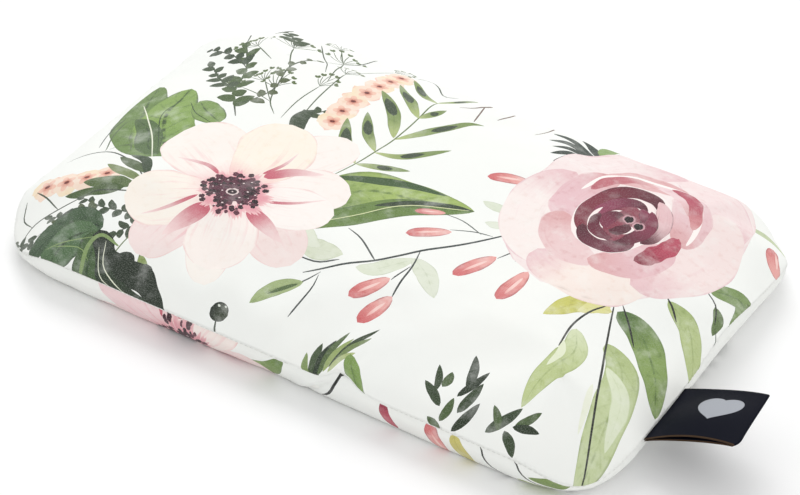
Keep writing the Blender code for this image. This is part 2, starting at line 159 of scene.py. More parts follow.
def inset_of(x, y, grown=0.0):
    """Distance inside the rounded outline, and the outward direction there."""
    half_x = HALF_LENGTH - CORNER_RADIUS
    half_y = HALF_WIDTH - CORNER_RADIUS
    over_x, over_y = abs(x) - half_x, abs(y) - half_y
    radius = CORNER_RADIUS + grown
    if over_x > 0 and over_y > 0:
        reach = math.hypot(over_x, over_y)
        return radius - reach, math.copysign(over_x / reach, x), math.copysign(over_y / reach, y)
    if over_x > over_y:
        return radius - over_x, math.copysign(1, x), 0.0
    return radius - over_y, 0.0, math.copysign(1, y)


def bulge(share, power):
    """Quarter of a superellipse, rising from 0 to 1."""
    return (1 - (1 - min(max(share, 0), 1)) ** power) ** (1 / power)


def bell(distance, width):
    """1 at no distance, falling smoothly away over the width."""
    return math.exp(-((distance / width) ** 2))


def seam_height(x, y):
    """The seam dips at the corners and rides up a little along the labelled end."""
    over_x = max(abs(x) - HALF_LENGTH + CORNER_RADIUS, 0)
    over_y = max(abs(y) - HALF_WIDTH + CORNER_RADIUS, 0)
    corner = math.sin(2 * math.atan2(over_y, over_x)) ** 2 if over_x > 0 and over_y > 0 else 0
    height = SEAM_HEIGHT + corner * (CORNER_SEAM - SEAM_HEIGHT)
    if x > HALF_LENGTH - CORNER_RADIUS and over_x > over_y:
        height += END_SEAM_RISE * bell(y - END_SEAM_MIDDLE, END_SEAM_SPREAD)
    return height


class Panel:
    """One panel of the cover: how far its cut reaches, and where its points go."""

    def __init__(self, width, power, rise):
        insets = [width * (step / PROFILE_STEPS) ** 2 for step in range(PROFILE_STEPS + 1)]
        heights = [rise * bulge(inset / width, power) for inset in insets]
        lengths = [0.0]
        for step in range(PROFILE_STEPS):
            run = insets[step + 1] - insets[step]
            lengths.append(lengths[-1] + math.hypot(run, heights[step + 1] - heights[step]))
        self.width, self.power = width, power
        self.insets, self.lengths = insets, lengths
        self.excess = lengths[-1] - width

    def place(self, u, v):
        """Flat cut to stuffed shape: x, y, inset and share of the rise."""
        depth, out_x, out_y = inset_of(u, v, self.excess)
        depth = max(depth, 0)
        inset = depth - self.excess
        if depth < self.lengths[-1]:
            inset = float(np.interp(depth, self.lengths, self.insets))
        shift = self.excess + inset - depth
        return u - out_x * shift, v - out_y * shift, inset, bulge(inset / self.width, self.power)

    def flat(self, x, y):
        """A place seen from above, on the flat cut."""
        inset, out_x, out_y = inset_of(x, y)
        inset = max(inset, 0)
        if inset >= self.width:
            return x, y
        shift = self.excess + inset - float(np.interp(inset, self.insets, self.lengths))
        return x + out_x * shift, y + out_y * shift


top_panel = Panel(SHOULDER_WIDTH, SHOULDER_POWER, PILLOW_TOP - SEAM_HEIGHT)
under_panel = Panel(UNDERSIDE_WIDTH, UNDERSIDE_POWER, SEAM_HEIGHT)


def top_place(u, v):
    x, y, inset, rise = top_panel.place(u, v)
    seam = seam_height(x, y)
    crown = max(inset - SHOULDER_WIDTH, 0) / (HALF_WIDTH - SHOULDER_WIDTH)
    return x, y, seam + (PILLOW_TOP - CROWN_RISE - seam) * rise + CROWN_RISE * (1 - (1 - crown) ** 2)


def under_place(u, v):
    x, y, inset, rise = under_panel.place(u, v)
    return x, y, seam_height(x, y) * (1 - rise)


# ---- Stuffed cover: its filling --------------------------------------------------------------
# The filling pushes both panels out evenly, and the sewn edge is a little shorter than the
# cloth beside it.  A coarse copy of the cover is blown up as cloth, and how far each of its
# points moved is kept, so that the fine cover can follow it.

COARSE_STEP = 0.0095
COARSE_RIM = 168
ROW_SPACING = 0.866
STUFFING_PRESSURE = 0.6
STUFFING_FRAMES = 20
SEAM_DRAW = 0.035
MOST_SWELL = 0.003
BROAD_REACH = 0.016
NEAR_REACH = 0.006
EDGE_HOLD = 0.25
EDGE_WIDTH = 0.03
PLACES_AT_ONCE = 1500


def outline_place(share):
    """A point of the seam and its outward direction, that share of the way round."""
    straight = (2 * (HALF_LENGTH - CORNER_RADIUS), 2 * (HALF_WIDTH - CORNER_RADIUS))
    arc = CORNER_RADIUS * math.pi / 2
    walk = share % 1 * 2 * (sum(straight) + 2 * arc)
    x, y, turn = -straight[0] / 2, -straight[1] / 2, -math.pi / 2
    for side in range(4):
        along = min(walk, straight[side % 2])
        x -= math.sin(turn) * along
        y += math.cos(turn) * along
        walk -= along
        bend = min(walk, arc) / CORNER_RADIUS
        out_x, out_y = math.cos(turn + bend), math.sin(turn + bend)
        walk -= min(walk, arc)
        if walk <= 0:
            break
        turn += math.pi / 2
    return x + CORNER_RADIUS * out_x, y + CORNER_RADIUS * out_y, out_x, out_y


def cut_points(panel, ring_count, step):
    """The rim of a panel's flat cut, and an even scatter of points inside it."""
    rim = []
    for index in range(ring_count):
        x, y, out_x, out_y = outline_place(index / ring_count)
        rim.append((x + out_x * panel.excess, y + out_y * panel.excess))
    inner = []
    rows = int((HALF_WIDTH + panel.excess) / (step * ROW_SPACING)) + 1
    columns = int((HALF_LENGTH + panel.excess) / step) + 2
    for row in range(-rows, rows + 1):
        for column in range(-columns, columns + 1):
            u = (column + 0.5 * (row % 2)) * step
            v = row * step * ROW_SPACING
            if inset_of(u, v, panel.excess)[0] > 0.55 * step:
                inner.append((u, v))
    return rim, inner


def coarse_cover():
    """Both panels as large triangles that share their rim, whose points come first."""
    places, faces = [], []
    for panel, put, turned in ((top_panel, top_place, False), (under_panel, under_place, True)):
        rim, inner = cut_points(panel, COARSE_RIM, COARSE_STEP)
        flat = [Vector(point) for point in rim + inner]
        found = delaunay_2d_cdt(flat, [], [], 0, 1e-7)
        own = []
        for vert, source in zip(found[0], found[3]):
            if source[0] < COARSE_RIM and turned:
                own.append(source[0])
            else:
                own.append(len(places))
                places.append(put(vert.x, vert.y))
        for face in found[2]:
            corners = [own[corner] for corner in face]
            faces.append(corners[::-1] if turned else corners)
    return places, faces


def near_average(wanted, places, values, reach):
    """The values held at places, averaged near each wanted point."""
    result = np.empty((len(wanted), values.shape[1]))
    for start in range(0, len(wanted), PLACES_AT_ONCE):
        stop = start + PLACES_AT_ONCE
        part = wanted[start:stop]
        apart = ((part[:, None, :] - places[None, :, :]) ** 2).sum(axis=2)
        share = np.exp(-apart / (2 * reach * reach))
        result[start:stop] = (share / share.sum(axis=1, keepdims=True)) @ values
    return result


def share_of(value, whole):
    """The value as a share of the whole, held between 0 and 1."""
    return min(max(value / whole, 0), 1)


def stuff(places, faces):
    """How far each point of the coarse cover moves as the filling swells it."""
    mesh = bpy.data.meshes.new("cover_being_stuffed")
    mesh.from_pydata(places, [], faces)
    cloth = add_object("cover_being_stuffed", mesh)
    drawn = cloth.vertex_groups.new(name="drawn_edge")
    drawn.add(list(range(COARSE_RIM)), 1.0, "REPLACE")
    modifier = cloth.modifiers.new("stuffing", "CLOTH")
    cotton = modifier.settings
    cotton.quality = 6
    cotton.mass = 0.25
    cotton.tension_stiffness = 18
    cotton.compression_stiffness = 12
    cotton.shear_stiffness = 6
    cotton.bending_stiffness = 0.35
    cotton.use_pressure = True
    cotton.uniform_pressure_force = STUFFING_PRESSURE
    cotton.vertex_group_shrink = "drawn_edge"
    cotton.shrink_min = 0.0
    cotton.shrink_max = SEAM_DRAW
    cotton.effector_weights.gravity = 0
    modifier.collision_settings.use_collision = False
    modifier.point_cache.frame_start = 1
    modifier.point_cache.frame_end = STUFFING_FRAMES
    for step in range(1, STUFFING_FRAMES + 1):
        bpy.context.scene.frame_set(step)
    settled = cloth.evaluated_get(bpy.context.evaluated_depsgraph_get()).to_mesh()
    found = np.empty(len(places) * 3)
    settled.vertices.foreach_get("co", found)
    bpy.data.objects.remove(cloth)
    bpy.context.scene.frame_set(1)
    moved = found.reshape(-1, 3) - np.array(places)
    moved -= near_average(np.array(places), np.array(places), moved, BROAD_REACH)
    reach = np.linalg.norm(moved, axis=1, keepdims=True)
    moved *= np.minimum(1, MOST_SWELL / np.maximum(reach, 1e-9))
    held = np.array([
        EDGE_HOLD + (1 - EDGE_HOLD) * share_of(inset_of(x, y)[0], EDGE_WIDTH) for x, y, _ in places
    ])
    return moved * held[:, None]


coarse_places, coarse_faces = coarse_cover()
swell = stuff(coarse_places, coarse_faces)
coarse_places = np.array(coarse_places)


def swollen(places):
    """The places moved as the coarse cover moved near each of them."""
    places = np.array(places)
    return places + near_average(places, coarse_places, swell, NEAR_REACH)


# ---- Stuffed cover: its print ----------------------------------------------------------------
# White cotton printed with watercolour flowers: an anemone and a rose among leaves, buds and
# fine sprigs.  Each petal, leaf and stalk is one shape drawn along a curved midrib, given in
# millimetres as it lies on the finished pillow, and later shapes lie over earlier ones.

print_shapes = []
print_panel = top_panel
print_frame = (0.0, 0.0, 0.0, 1.0)
GOLDEN_TURN = 2.399963


def tone(code):
    """A six-figure paint code as linear red, green and blue."""
    parts = [int(code[at:at + 2], 16) / 255 for at in (0, 2, 4)]
    return [part / 12.92 if part <= 0.04045 else ((part + 0.055) / 1.055) ** 2.4 for part in parts]


def curve_through(points, steps):
    """Even steps along a smooth curve through the points."""
    held = np.array(points, dtype=float)
    if len(held) == 2:
        return held[0] + (held[1] - held[0]) * np.linspace(0, 1, steps)[:, None]
    ends = np.vstack([2 * held[0] - held[1], held, 2 * held[-1] - held[-2]])
    dense = []
    for index in range(len(held) - 1):
        a, b, c, d = ends[index:index + 4]
        for t in np.linspace(0, 1, 12, endpoint=index == len(held) - 2):
            dense.append(0.5 * (2 * b + (c - a) * t + (2 * a - 5 * b + 4 * c - d) * t * t
                                + (3 * b - a - 3 * c + d) * t ** 3))
    dense = np.array(dense)
    walked = np.concatenate([[0], np.cumsum(np.hypot(*np.diff(dense, axis=0).T))])
    even = np.linspace(0, walked[-1], steps)
    return np.column_stack([np.interp(even, walked, dense[:, axis]) for axis in (0, 1)])


def draw(points, half, paint, root=None, rim=None, root_reach=0.5, rim_width=0.12, fullness=0.5,
         skew=1.0, vein=0.0, streak=0.0, wash=0.5, ragged=0.0, seed=0, steps=None, stalk=0.0):
    """One painted shape: its half width swells along the midrib and closes at both ends."""
    turn, shift_x, shift_y, size = print_frame
    cos, sin = math.cos(turn), math.sin(turn)
    placed = [
        (shift_x + size * (x * cos - y * sin), shift_y + size * (x * sin + y * cos)) for x, y in points
    ]
    midrib = np.array([print_panel.flat(x / 1000, y / 1000) for x, y in placed])
    reach = float(np.hypot(*np.diff(midrib, axis=0).T).sum())
    half = half * size / 1000
    if steps is None:
        steps = int(min(max(reach / 0.003, 6), 28)) if half < 0.001 else int(min(max(reach / 0.0016, 12), 34))
    midrib = curve_through(midrib, steps)
    along = np.linspace(0, 1, steps)
    profile = (4 * along ** skew * (1 - along ** skew)).clip(0, 1) ** fullness
    profile = np.maximum(profile, stalk)
    way = np.gradient(midrib, axis=0)
    way /= np.maximum(np.hypot(*way.T)[:, None], 1e-12)
    side = np.column_stack([-way[:, 1], way[:, 0]])
    wave = np.array([
        [math.sin(11 * t + 1.7 * seed + 2 * edge) + 0.6 * math.sin(23 * t + 2.9 * seed + edge) for t in along]
        for edge in (0, 1)
    ])
    left = midrib + side * (half * profile * (1 + ragged * wave[0]))[:, None]
    right_edge = midrib - side * (half * profile * (1 + ragged * wave[1]))[:, None]
    start, stop = (0, steps) if stalk else (1, steps - 1)
    outline = list(right_edge[start:stop]) + list(left[start:stop][::-1])
    if not stalk:
        outline = [midrib[0]] + list(right_edge[1:steps - 1]) + [midrib[-1]] + list(left[1:steps - 1][::-1])
    print_shapes.append({
        "panel": print_panel, "outline": outline, "midrib": midrib, "half": half,
        "profile": np.maximum(profile, 0.08), "paint": tone(paint), "root": tone(root or paint),
        "rim": tone(rim or paint), "root_reach": root_reach, "rim_width": rim_width if rim else 0.0,
        "habit": (vein, streak, wash), "seed": seed,
    })


def stalk(points, thick, paint="3f4a3a", taper=0.45):
    draw(points, thick / 2, paint, fullness=0.22, skew=1 + taper, wash=0.4, stalk=0.3)


def leaf(points, half, paint, rim=None, vein=0.6, seed=0, root=None, fullness=0.8, skew=0.85, wash=0.8,
         ragged=0.03):
    draw(points, half, paint, root=root, rim=rim or paint, rim_width=0.16, vein=vein, seed=seed,
         fullness=fullness, skew=skew, wash=wash, ragged=ragged)


def bud(points, half, paint="cf6c6e", rim="a9484f"):
    seed = int(points[0][0]) % 17
    draw(points, half, "e9a9a3", root=paint, rim=rim, root_reach=0.75, rim_width=0.34, fullness=0.6,
         skew=0.85, streak=1.0, wash=1.0, ragged=0.02, seed=seed)
    up = 0.22 * half
    first = ((2 * points[0][0] + points[1][0]) / 3 + 0.7 * up, (2 * points[0][1] + points[1][1]) / 3 + up)
    last = ((points[-1][0] + points[1][0]) / 2 + 0.7 * up, (points[-1][1] + points[1][1]) / 2 + up)
    draw([first, last], half * 0.2, "f4cfc8", root="e9a9a3", wash=0.4, seed=seed)


def sprig(points, thick, leaflets, half, paint="4d6243", stem="3f4a3a", reach=12, lean=0.9, ends=True):
    """A stalk with small leaves set on both sides by turns, shorter towards the tip."""
    stalk(points, thick, stem)
    line = curve_through(points, 60)
    for index in range(leaflets):
        share = 0.12 + 0.86 * index / max(leaflets - 1, 1)
        at = line[int(share * 59)]
        ahead = line[min(int(share * 59) + 2, 59)] - line[max(int(share * 59) - 2, 0)]
        ahead /= max(math.hypot(*ahead), 1e-9)
        hand = 1 if index % 2 else -1
        if index == leaflets - 1 and ends:
            hand = 0
        length = reach * (1 - 0.45 * share) * (0.9 + 0.2 * math.sin(5.1 * index + points[0][0]))
        turn = hand * lean
        out = (ahead[0] * math.cos(turn) - ahead[1] * math.sin(turn),
               ahead[0] * math.sin(turn) + ahead[1] * math.cos(turn))
        bend = 0.12 * hand * length
        middle = (at[0] + out[0] * length * 0.55 + out[1] * bend,
                  at[1] + out[1] * length * 0.55 - out[0] * bend)
        tip = (at[0] + out[0] * length, at[1] + out[1] * length)
        leaf([tuple(at), middle, tip], half * (1 - 0.35 * share), paint, vein=0.2, seed=index)


def umbel(points, thick, rays, reach, spread, dot, paint="4a5a3c", head="5e6f45"):
    """A fine stalk that opens into thin rays, each with a dot of seed at its end."""
    stalk(points, thick, paint)
    foot = points[-1]
    before = points[-2]
    main = math.atan2(foot[1] - before[1], foot[0] - before[0])
    for index in range(rays):
        angle = main + spread * (index / max(rays - 1, 1) - 0.5)
        far = reach * (0.8 + 0.2 * math.sin(7.3 * index + foot[0]))
        tip = (foot[0] + far * math.cos(angle), foot[1] + far * math.sin(angle))
        middle = (foot[0] + 0.5 * far * math.cos(angle + 0.12), foot[1] + 0.5 * far * math.sin(angle + 0.12))
        stalk([foot, middle, tip], thick * 0.62, paint)
        for small in (-0.5, 0.5) if reach > 9 else (0,):
            end = (tip[0] + dot * 1.9 * math.cos(angle + small), tip[1] + dot * 1.9 * math.sin(angle + small))
            draw([tip, end], dot * 0.62, head, fullness=0.5, wash=0.7)


def peach_cluster(points, count, paint="f3ddcb"):
    """A loose head of small peach flowers with brown-red hearts."""
    line = curve_through(points, count)
    for index, (x, y) in enumerate(line):
        out_x, out_y = 9 * math.cos(2.4 * index), 9 * math.sin(2.4 * index)
        draw([(x - out_x, y - out_y), (x + out_x, y + out_y)], 8.5, paint, root="f1dfc0",
             rim="eebfae", rim_width=0.1, wash=1.0, ragged=0.12, seed=index)
    for index, (x, y) in enumerate(line):
        for ray in range(5):
            turn = 1.26 * ray + index
            draw([(x, y), (x + 5.5 * math.cos(turn), y + 5.5 * math.sin(turn))], 1.9, "efc4b0",
                 root="c9705c", root_reach=0.7, streak=0.5, wash=0.8)
        draw([(x - 1.4, y - 0.6), (x + 1.4, y + 0.6)], 1.1, "6e2a22")


def anemone(petals):
    """Petals in the order they overlap, then the dark boss of stamens at (0, 0)."""
    for number, (tip_x, tip_y, half, paint, root) in enumerate(petals):
        length = math.hypot(tip_x, tip_y)
        bend = 0.05 * length * (1 if number % 2 else -1)
        middle = (0.55 * tip_x - bend * tip_y / length, 0.55 * tip_y + bend * tip_x / length)
        draw([(0.06 * tip_x, 0.06 * tip_y), middle, (tip_x, tip_y)], half, paint, root=root, rim="ebc6c4",
             root_reach=0.4, rim_width=0.075, fullness=0.5, skew=1.38, streak=0.55, wash=0.7,
             ragged=0.022, seed=number, steps=30)
    for foot, middle, tip, half in (
        ((-5, -15), (-11, -28), (-17, -43), 5.4), ((15, -7), (28, -13), (43, -20), 5.0),
        ((7, 20), (18, 33), (33, 41), 3.8), ((5, 22), (10, 36), (11, 50), 1.2),
        ((-14, 9), (-25, 13), (-42, 10), 1.6), ((-14, -12), (-24, -26), (-36, -36), 1.3),
        ((18, 2), (34, 10), (46, 22), 1.1),
    ):
        draw([foot, middle, tip], half, "f1d8d6", root="c45f70", root_reach=1.0, skew=0.62, fullness=0.8,
             streak=0.6, wash=0.6, seed=int(half * 10))
    for count in range(90):
        turn = GOLDEN_TURN * count
        far = 19.5 + 4.5 * math.sin(3.7 * count) * math.sin(1.3 * count)
        x, y = far * math.cos(turn), far * math.sin(turn)
        draw([(x, y), (0.8 * x, 0.8 * y), (0.5 * x, 0.5 * y)], 0.8, "e3a0a9", root="efc6c6", skew=0.8,
             wash=0.5)
    draw([(-13.5, -2), (-2, 1), (12.5, 1)], 12.5, "57283a", fullness=0.5, ragged=0.2, wash=0.5, seed=4,
         steps=34)
    for count in range(120):
        turn = GOLDEN_TURN * count + 0.5 * math.sin(2.7 * count)
        far = 3 + 14.5 * math.sqrt((count + 1) / 120) * (0.93 + 0.13 * math.sin(4.3 * count))
        x, y = far * math.cos(turn), far * math.sin(turn)
        size = 0.9 + 1.1 * math.sin(3.1 * count) ** 2
        out_x, out_y = size * math.cos(turn), size * math.sin(turn)
        draw([(x - out_x, y - out_y), (x + out_x, y + out_y)], size * 0.8,
             ("3a1a26", "46202e", "27131b", "5e2e3e")[count % 4], ragged=0.15, wash=0.3, seed=count % 9)
    for count in range(26):
        turn = GOLDEN_TURN * count + 1.1
        far = 3.4 + 11 * math.sqrt(count / 26)
        x, y = far * math.cos(turn), far * math.sin(turn)
        size = 0.35 + 0.3 * math.sin(2.2 * count) ** 2
        draw([(x - size, y - size / 2), (x + size, y + size / 2)], size * 0.8, "e6d3d2", wash=0.1)
    draw([(-3.2, -1.8), (3.2, 1.6)], 3.0, "decbc9", ragged=0.12, wash=0.2)
    draw([(-2.3, -1.4), (2.3, 1.1)], 2.1, "2a141c", wash=0.2)
    draw([(-0.5, 0), (0.5, 0)], 0.45, "decbc9", wash=0.1)


def place_print(x, y, turn=0.0, size=1.0):
    global print_frame
    print_frame = (math.radians(turn), x, y, size)


# Behind the flowers, from the far left corner round to the near one: fine umbels, dark twigs,
# the broad green leaf folded over itself, two heads of peach flowers and the dark foliage.
umbel([(-95, 15), (-103, 24), (-108, 38)], 0.8, 7, 16, 1.9, 1.5)
umbel([(-103, 24), (-118, 42)], 0.7, 6, 12, 1.6, 1.4)
umbel([(-103, 24), (-116, 28), (-126, 30)], 0.7, 6, 11, 1.7, 1.4)
umbel([(-90, 14), (-91, 32), (-89, 54)], 0.7, 6, 13, 1.5, 1.5)
umbel([(-81, 18), (-84, 50), (-84, 74)], 0.8, 6, 14, 1.5, 1.4, head="727c5a")
umbel([(-88, 60), (-93, 84), (-97, 96)], 0.8, 7, 16, 2.0, 1.5)
umbel([(-84, 74), (-76, 96), (-70, 108)], 0.7, 6, 11, 1.8, 1.4)
umbel([(-108, 52), (-118, 70), (-124, 84)], 0.8, 7, 15, 2.0, 1.6)
umbel([(-97, 96), (-108, 110)], 0.7, 6, 12, 1.8, 1.5)
umbel([(-126, 62), (-142, 74)], 0.7, 6, 12, 1.8, 1.6)
sprig([(-112, 2), (-128, 26), (-137, 52), (-150, 74)], 1.5, 13, 4.2, "4c6038", reach=15)
sprig([(-128, 26), (-144, 36), (-160, 52)], 1.1, 9, 3.6, "44533b", reach=12)
sprig([(-118, 12), (-108, 34), (-112, 60), (-104, 80)], 1.0, 11, 2.8, "535f3e", reach=9)
sprig([(-137, 52), (-150, 62), (-170, 68)], 1.0, 8, 3.2, "394933", reach=11)
sprig([(-124, 84), (-134, 98), (-150, 112)], 1.0, 9, 3.4, "44533b", reach=12)
sprig([(-84, 14), (-76, 30), (-66, 44)], 0.9, 8, 2.6, "415036", reach=9)
stalk([(-94, 68), (-102, 84), (-118, 104)], 0.8)
stalk([(-103, 83), (-92, 104), (-90, 122)], 0.8)
stalk([(-150, 74), (-158, 92), (-172, 104)], 0.9)
stalk([(-59, 112), (-54, 121), (-44, 112), (-35, 103), (-28, 107)], 0.9)
stalk([(-17, 87), (-11, 96), (-12, 120)], 1.3, "6b5044")
stalk([(-12, 110), (-6, 92), (-2, 77)], 0.9, "6b5044")
stalk([(4, 95), (5, 108), (2, 124)], 1.1, "6b5044")
stalk([(26, 100), (30, 110), (28, 122)], 1.0, "6b5044")
leaf([(-75, 6), (-81, 20), (-78, 32)], 5.0, "404e3a", seed=3)
peach_cluster([(-65, 28), (-66, 50), (-63, 72), (-62, 100)], 7)
peach_cluster([(-173, -92), (-160, -88), (-143, -78)], 4)

leaf([(-123, -50), (-146, -40), (-166, -12), (-178, 26)], 17, "6c8848", rim="4d6537", vein=1.0, seed=1,
     fullness=0.62)
leaf([(-121, -52), (-141, -28), (-152, -4), (-154, 22)], 19, "86a355", rim="475f32", vein=1.0, seed=2,
     fullness=0.6, root="68864b")
leaf([(-128, -52), (-140, -44), (-152, -26), (-168, -14)], 8, "536c3e", rim="394e2f", vein=0.8, seed=5)
leaf([(-116, -8), (-130, 0), (-141, 10)], 9, "7e9955", rim="3b522f", vein=0.8, seed=6, fullness=0.6)
stalk([(-126, -60), (-133, -50), (-151, -25), (-174, 3)], 0.8, "ecefda")
stalk([(-131, -48), (-152, -13), (-153, 12)], 0.7, "394e2f")
stalk([(-116, -12), (-134, -4), (-146, 8)], 0.6, "394e2f")
stalk([(-180, -64), (-160, -55), (-140, -62), (-122, -74)], 1.0, "40483e")
stalk([(-161, -54), (-168, -36), (-172, -17)], 1.0, "556448")
stalk([(-168, -50), (-174, -30), (-177, -11)], 0.9, "40483e")
stalk([(-160, -52), (-152, -44), (-146, -52)], 0.7, "556448")
leaf([(-120, -70), (-134, -66), (-147, -60)], 3.6, "536441", seed=7)
leaf([(-122, -76), (-136, -74), (-150, -68)], 3.2, "7c8a5c", seed=8)
leaf([(-124, -80), (-138, -84), (-152, -88)], 4.6, "62744c", seed=9)
leaf([(-128, -84), (-142, -92), (-158, -97)], 4.2, "4c6038", seed=10)
leaf([(-121, -72), (-130, -60), (-142, -57)], 3.0, "3c4c36", seed=11)
stalk([(-169, -128), (-167, -115), (-157, -105), (-140, -92), (-122, -84)], 1.0)
stalk([(-157, -105), (-168, -99), (-178, -95)], 0.9)
stalk([(-167, -115), (-176, -110), (-181, -100)], 0.8)
sprig([(-106, -92), (-122, -98), (-136, -100), (-146, -98)], 0.8, 11, 2.5, "404e3a", reach=9)
sprig([(-104, -98), (-114, -108), (-116, -118)], 0.8, 7, 2.4, "404e3a", reach=9)
sprig([(-142, -117), (-148, -111), (-158, -110)], 0.8, 7, 2.6, "404e3a", reach=9)
sprig([(-130, -104), (-142, -106), (-154, -116)], 0.8, 8, 2.3, "4b5838", reach=8)
sprig([(-158, -120), (-164, -126), (-172, -122)], 0.8, 7, 2.4, "404e3a", reach=8)
stalk([(-105, -100), (-108, -110), (-111, -124)], 0.7, "657749")
stalk([(-100, -106), (-97, -114), (-95, -122)], 0.7, "657749")
draw([(-99, -111), (-96.5, -113)], 1.3, "b44a5c")
leaf([(-96, -116), (-92, -120), (-88, -124)], 2.6, "8a9b5c", seed=4)

leaf([(-124, -110), (-136, -112), (-148, -122), (-156, -134)], 12, "445b40", rim="2a3c2b", vein=1.0, seed=12,
     fullness=0.55, ragged=0.09)
leaf([(-126, -112), (-138, -122), (-142, -138), (-140, -150)], 10, "55704d", rim="31452a", vein=0.9, seed=13,
     fullness=0.55, ragged=0.1)
leaf([(-124, -112), (-122, -126), (-116, -142), (-112, -152)], 9, "476039", rim="2b3f28", vein=0.8, seed=14,
     fullness=0.55, ragged=0.08)
leaf([(-125, -112), (-112, -124), (-92, -126), (-69, -136)], 7.5, "273125", rim="182118", vein=0.3, seed=15,
     fullness=0.5, ragged=0.16, wash=0.5)
leaf([(-118, -124), (-104, -134), (-88, -136), (-72, -137)], 5.5, "2d3b2a", rim="1c271c", vein=0.3, seed=16,
     fullness=0.5, ragged=0.1)
leaf([(-108, -124), (-102, -119), (-97, -121)], 3.2, "273125", seed=17)
leaf([(-96, -128), (-90, -121), (-84, -123)], 3.0, "273125", seed=18)
stalk([(-110, -116), (-122, -114), (-126, -122), (-122, -136)], 2.4, "819860")
stalk([(-118, -116), (-112, -128), (-98, -134), (-86, -137)], 0.6, "e6ead4")
stalk([(-120, -120), (-112, -132), (-100, -136)], 0.5, "e6ead4")
stalk([(-122, -128), (-130, -124), (-144, -128)], 0.6, "8aa068")
stalk([(-125, -116), (-136, -122), (-148, -130)], 0.6, "8aa068")

# Between the two flowers: the willow shoot, the long green leaf, and the dark branch with
# its coral buds and ghost-pale leaves.
stalk([(-39, -17), (-34, 1), (-31, 16), (-28, 34), (-28, 60), (-29, 83), (-24, 96)], 0.9, "657749", taper=0.1)
for number, (foot, bow, tip, half) in enumerate((
    ((-34, 1), (-22, 6), (-6, 13), 2.6), ((-31, 16), (-16, 22), (3, 43), 2.6),
    ((-28, 33), (-14, 54), (4, 80), 3.1), ((-28, 60), (-24, 68), (-20, 78), 2.6),
    ((-29, 83), (-24, 96), (-18, 112), 2.4), ((-34, 1), (-48, 14), (-60, 36), 3.8),
    ((-31, 17), (-43, 30), (-54, 48), 3.4), ((-29, 34), (-42, 56), (-59, 72), 4.0),
    ((-28, 60), (-40, 72), (-57, 90), 3.6), ((-29, 83), (-42, 92), (-57, 106), 3.0),
)):
    leaf([foot, bow, tip], half, "7f9358", root="b2bf81", rim="52643e", vein=0.25, seed=number, skew=0.95)
    share = 0.62 if number > 4 else 0.45
    spot = (foot[0] + (bow[0] - foot[0]) * 0.9, foot[1] + (bow[1] - foot[1]) * 0.9)
    last = (bow[0] + (tip[0] - bow[0]) * share, bow[1] + (tip[1] - bow[1]) * share)
    leaf([spot, bow, last], half * 0.78, "404e3a", vein=0.15, seed=number, wash=0.5)
leaf([(-32, -48), (-18, -18), (8, -8), (41, 1)], 17, "9fb564", rim="677e43", root="627d43", vein=0.9, seed=21,
     fullness=0.78, skew=0.72)
leaf([(-30, -66), (-12, -42), (8, -18), (41, 1)], 8.5, "688243", rim="435b2e", vein=0.8, seed=22,
     fullness=0.7)
leaf([(-38, -17), (-18, -6), (2, 2), (22, 5)], 3.4, "3f5933", rim="31472a", vein=0.2, seed=23)
leaf([(-6, -26), (10, -12), (28, -2), (41, 1)], 2.6, "35452e", rim="273524", vein=0.2, seed=24)
stalk([(-28, -64), (-8, -36), (10, -14), (38, 0)], 0.7, "dae0ad")
leaf([(-23, -70), (-14, -74), (2, -71)], 7.0, "d8dec8", rim="b9c3a5", vein=0.3, seed=25)
leaf([(-28, -62), (-20, -70), (-12, -72)], 5.0, "dfe4d2", rim="c2cbb2", vein=0.2, seed=26)
leaf([(12, -75), (22, -70), (35, -52)], 5.6, "dae0cc", rim="bcc5ab", vein=0.4, seed=27)
leaf([(34, -52), (46, -60), (59, -74)], 6.0, "dde2d1", rim="c1c9b2", vein=0.4, seed=28)
leaf([(58, 12), (49, 11), (40, 12)], 3.6, "d8dfcb", rim="bcc5ab", vein=0.4, seed=29)
leaf([(62, 0), (57, -3), (50, -4)], 3.2, "dfe4d4", rim="c1c9b2", vein=0.3, seed=30)
stalk([(-12, -90), (4, -78), (20, -62), (35, -44), (51, -27), (68, -4)], 1.5, "3b4240", taper=0.05)
stalk([(-21, -82), (-8, -81), (2, -75)], 1.1, "3b4240")
stalk([(-7, -51), (4, -55), (18, -65)], 1.1, "3b4240")
stalk([(-3, -88), (-1, -98), (-4, -115)], 1.0, "3b4240")
stalk([(-3, -86), (-8, -94), (-14, -100)], 1.0, "3b4240")
leaf([(-8, -95), (-20, -104), (-27, -116)], 4.6, "a1b27e", rim="74875c", vein=0.7, seed=31)
leaf([(-10, -97), (-15, -101), (-22, -108)], 1.3, "556a41", vein=0.1, seed=32)
stalk([(34, -45), (37, -60), (39, -84)], 1.1, "3b4240")
stalk([(36, -59), (33, -74)], 0.9, "3b4240")
stalk([(28, -10), (40, -10), (54, -15)], 0.8, "4c5550")
stalk([(38, -21), (50, -15), (60, -13)], 0.8, "4c5550")
stalk([(71, -28), (76, -18), (84, -8)], 1.0, "3b4240")
stalk([(90, -30), (90, -20)], 0.9, "3b4240")
stalk([(80, -25), (84, -19)], 0.8, "3b4240")
bud([(20, -37), (29, -30), (40, -22)], 4.0)
bud([(14, -17), (21, -13), (29, -9)], 2.8)
bud([(19, -93), (25, -84), (32, -73)], 4.6)
bud([(31, -104), (35, -94), (39, -83)], 4.8)
bud([(58, -53), (64, -40), (70, -27)], 4.8)
bud([(87, -58), (89, -43), (90, -29)], 5.0)
bud([(31, 33), (41, 38), (54, 42)], 4.2)
bud([(178, 98), (182, 88), (190, 80)], 5.0)

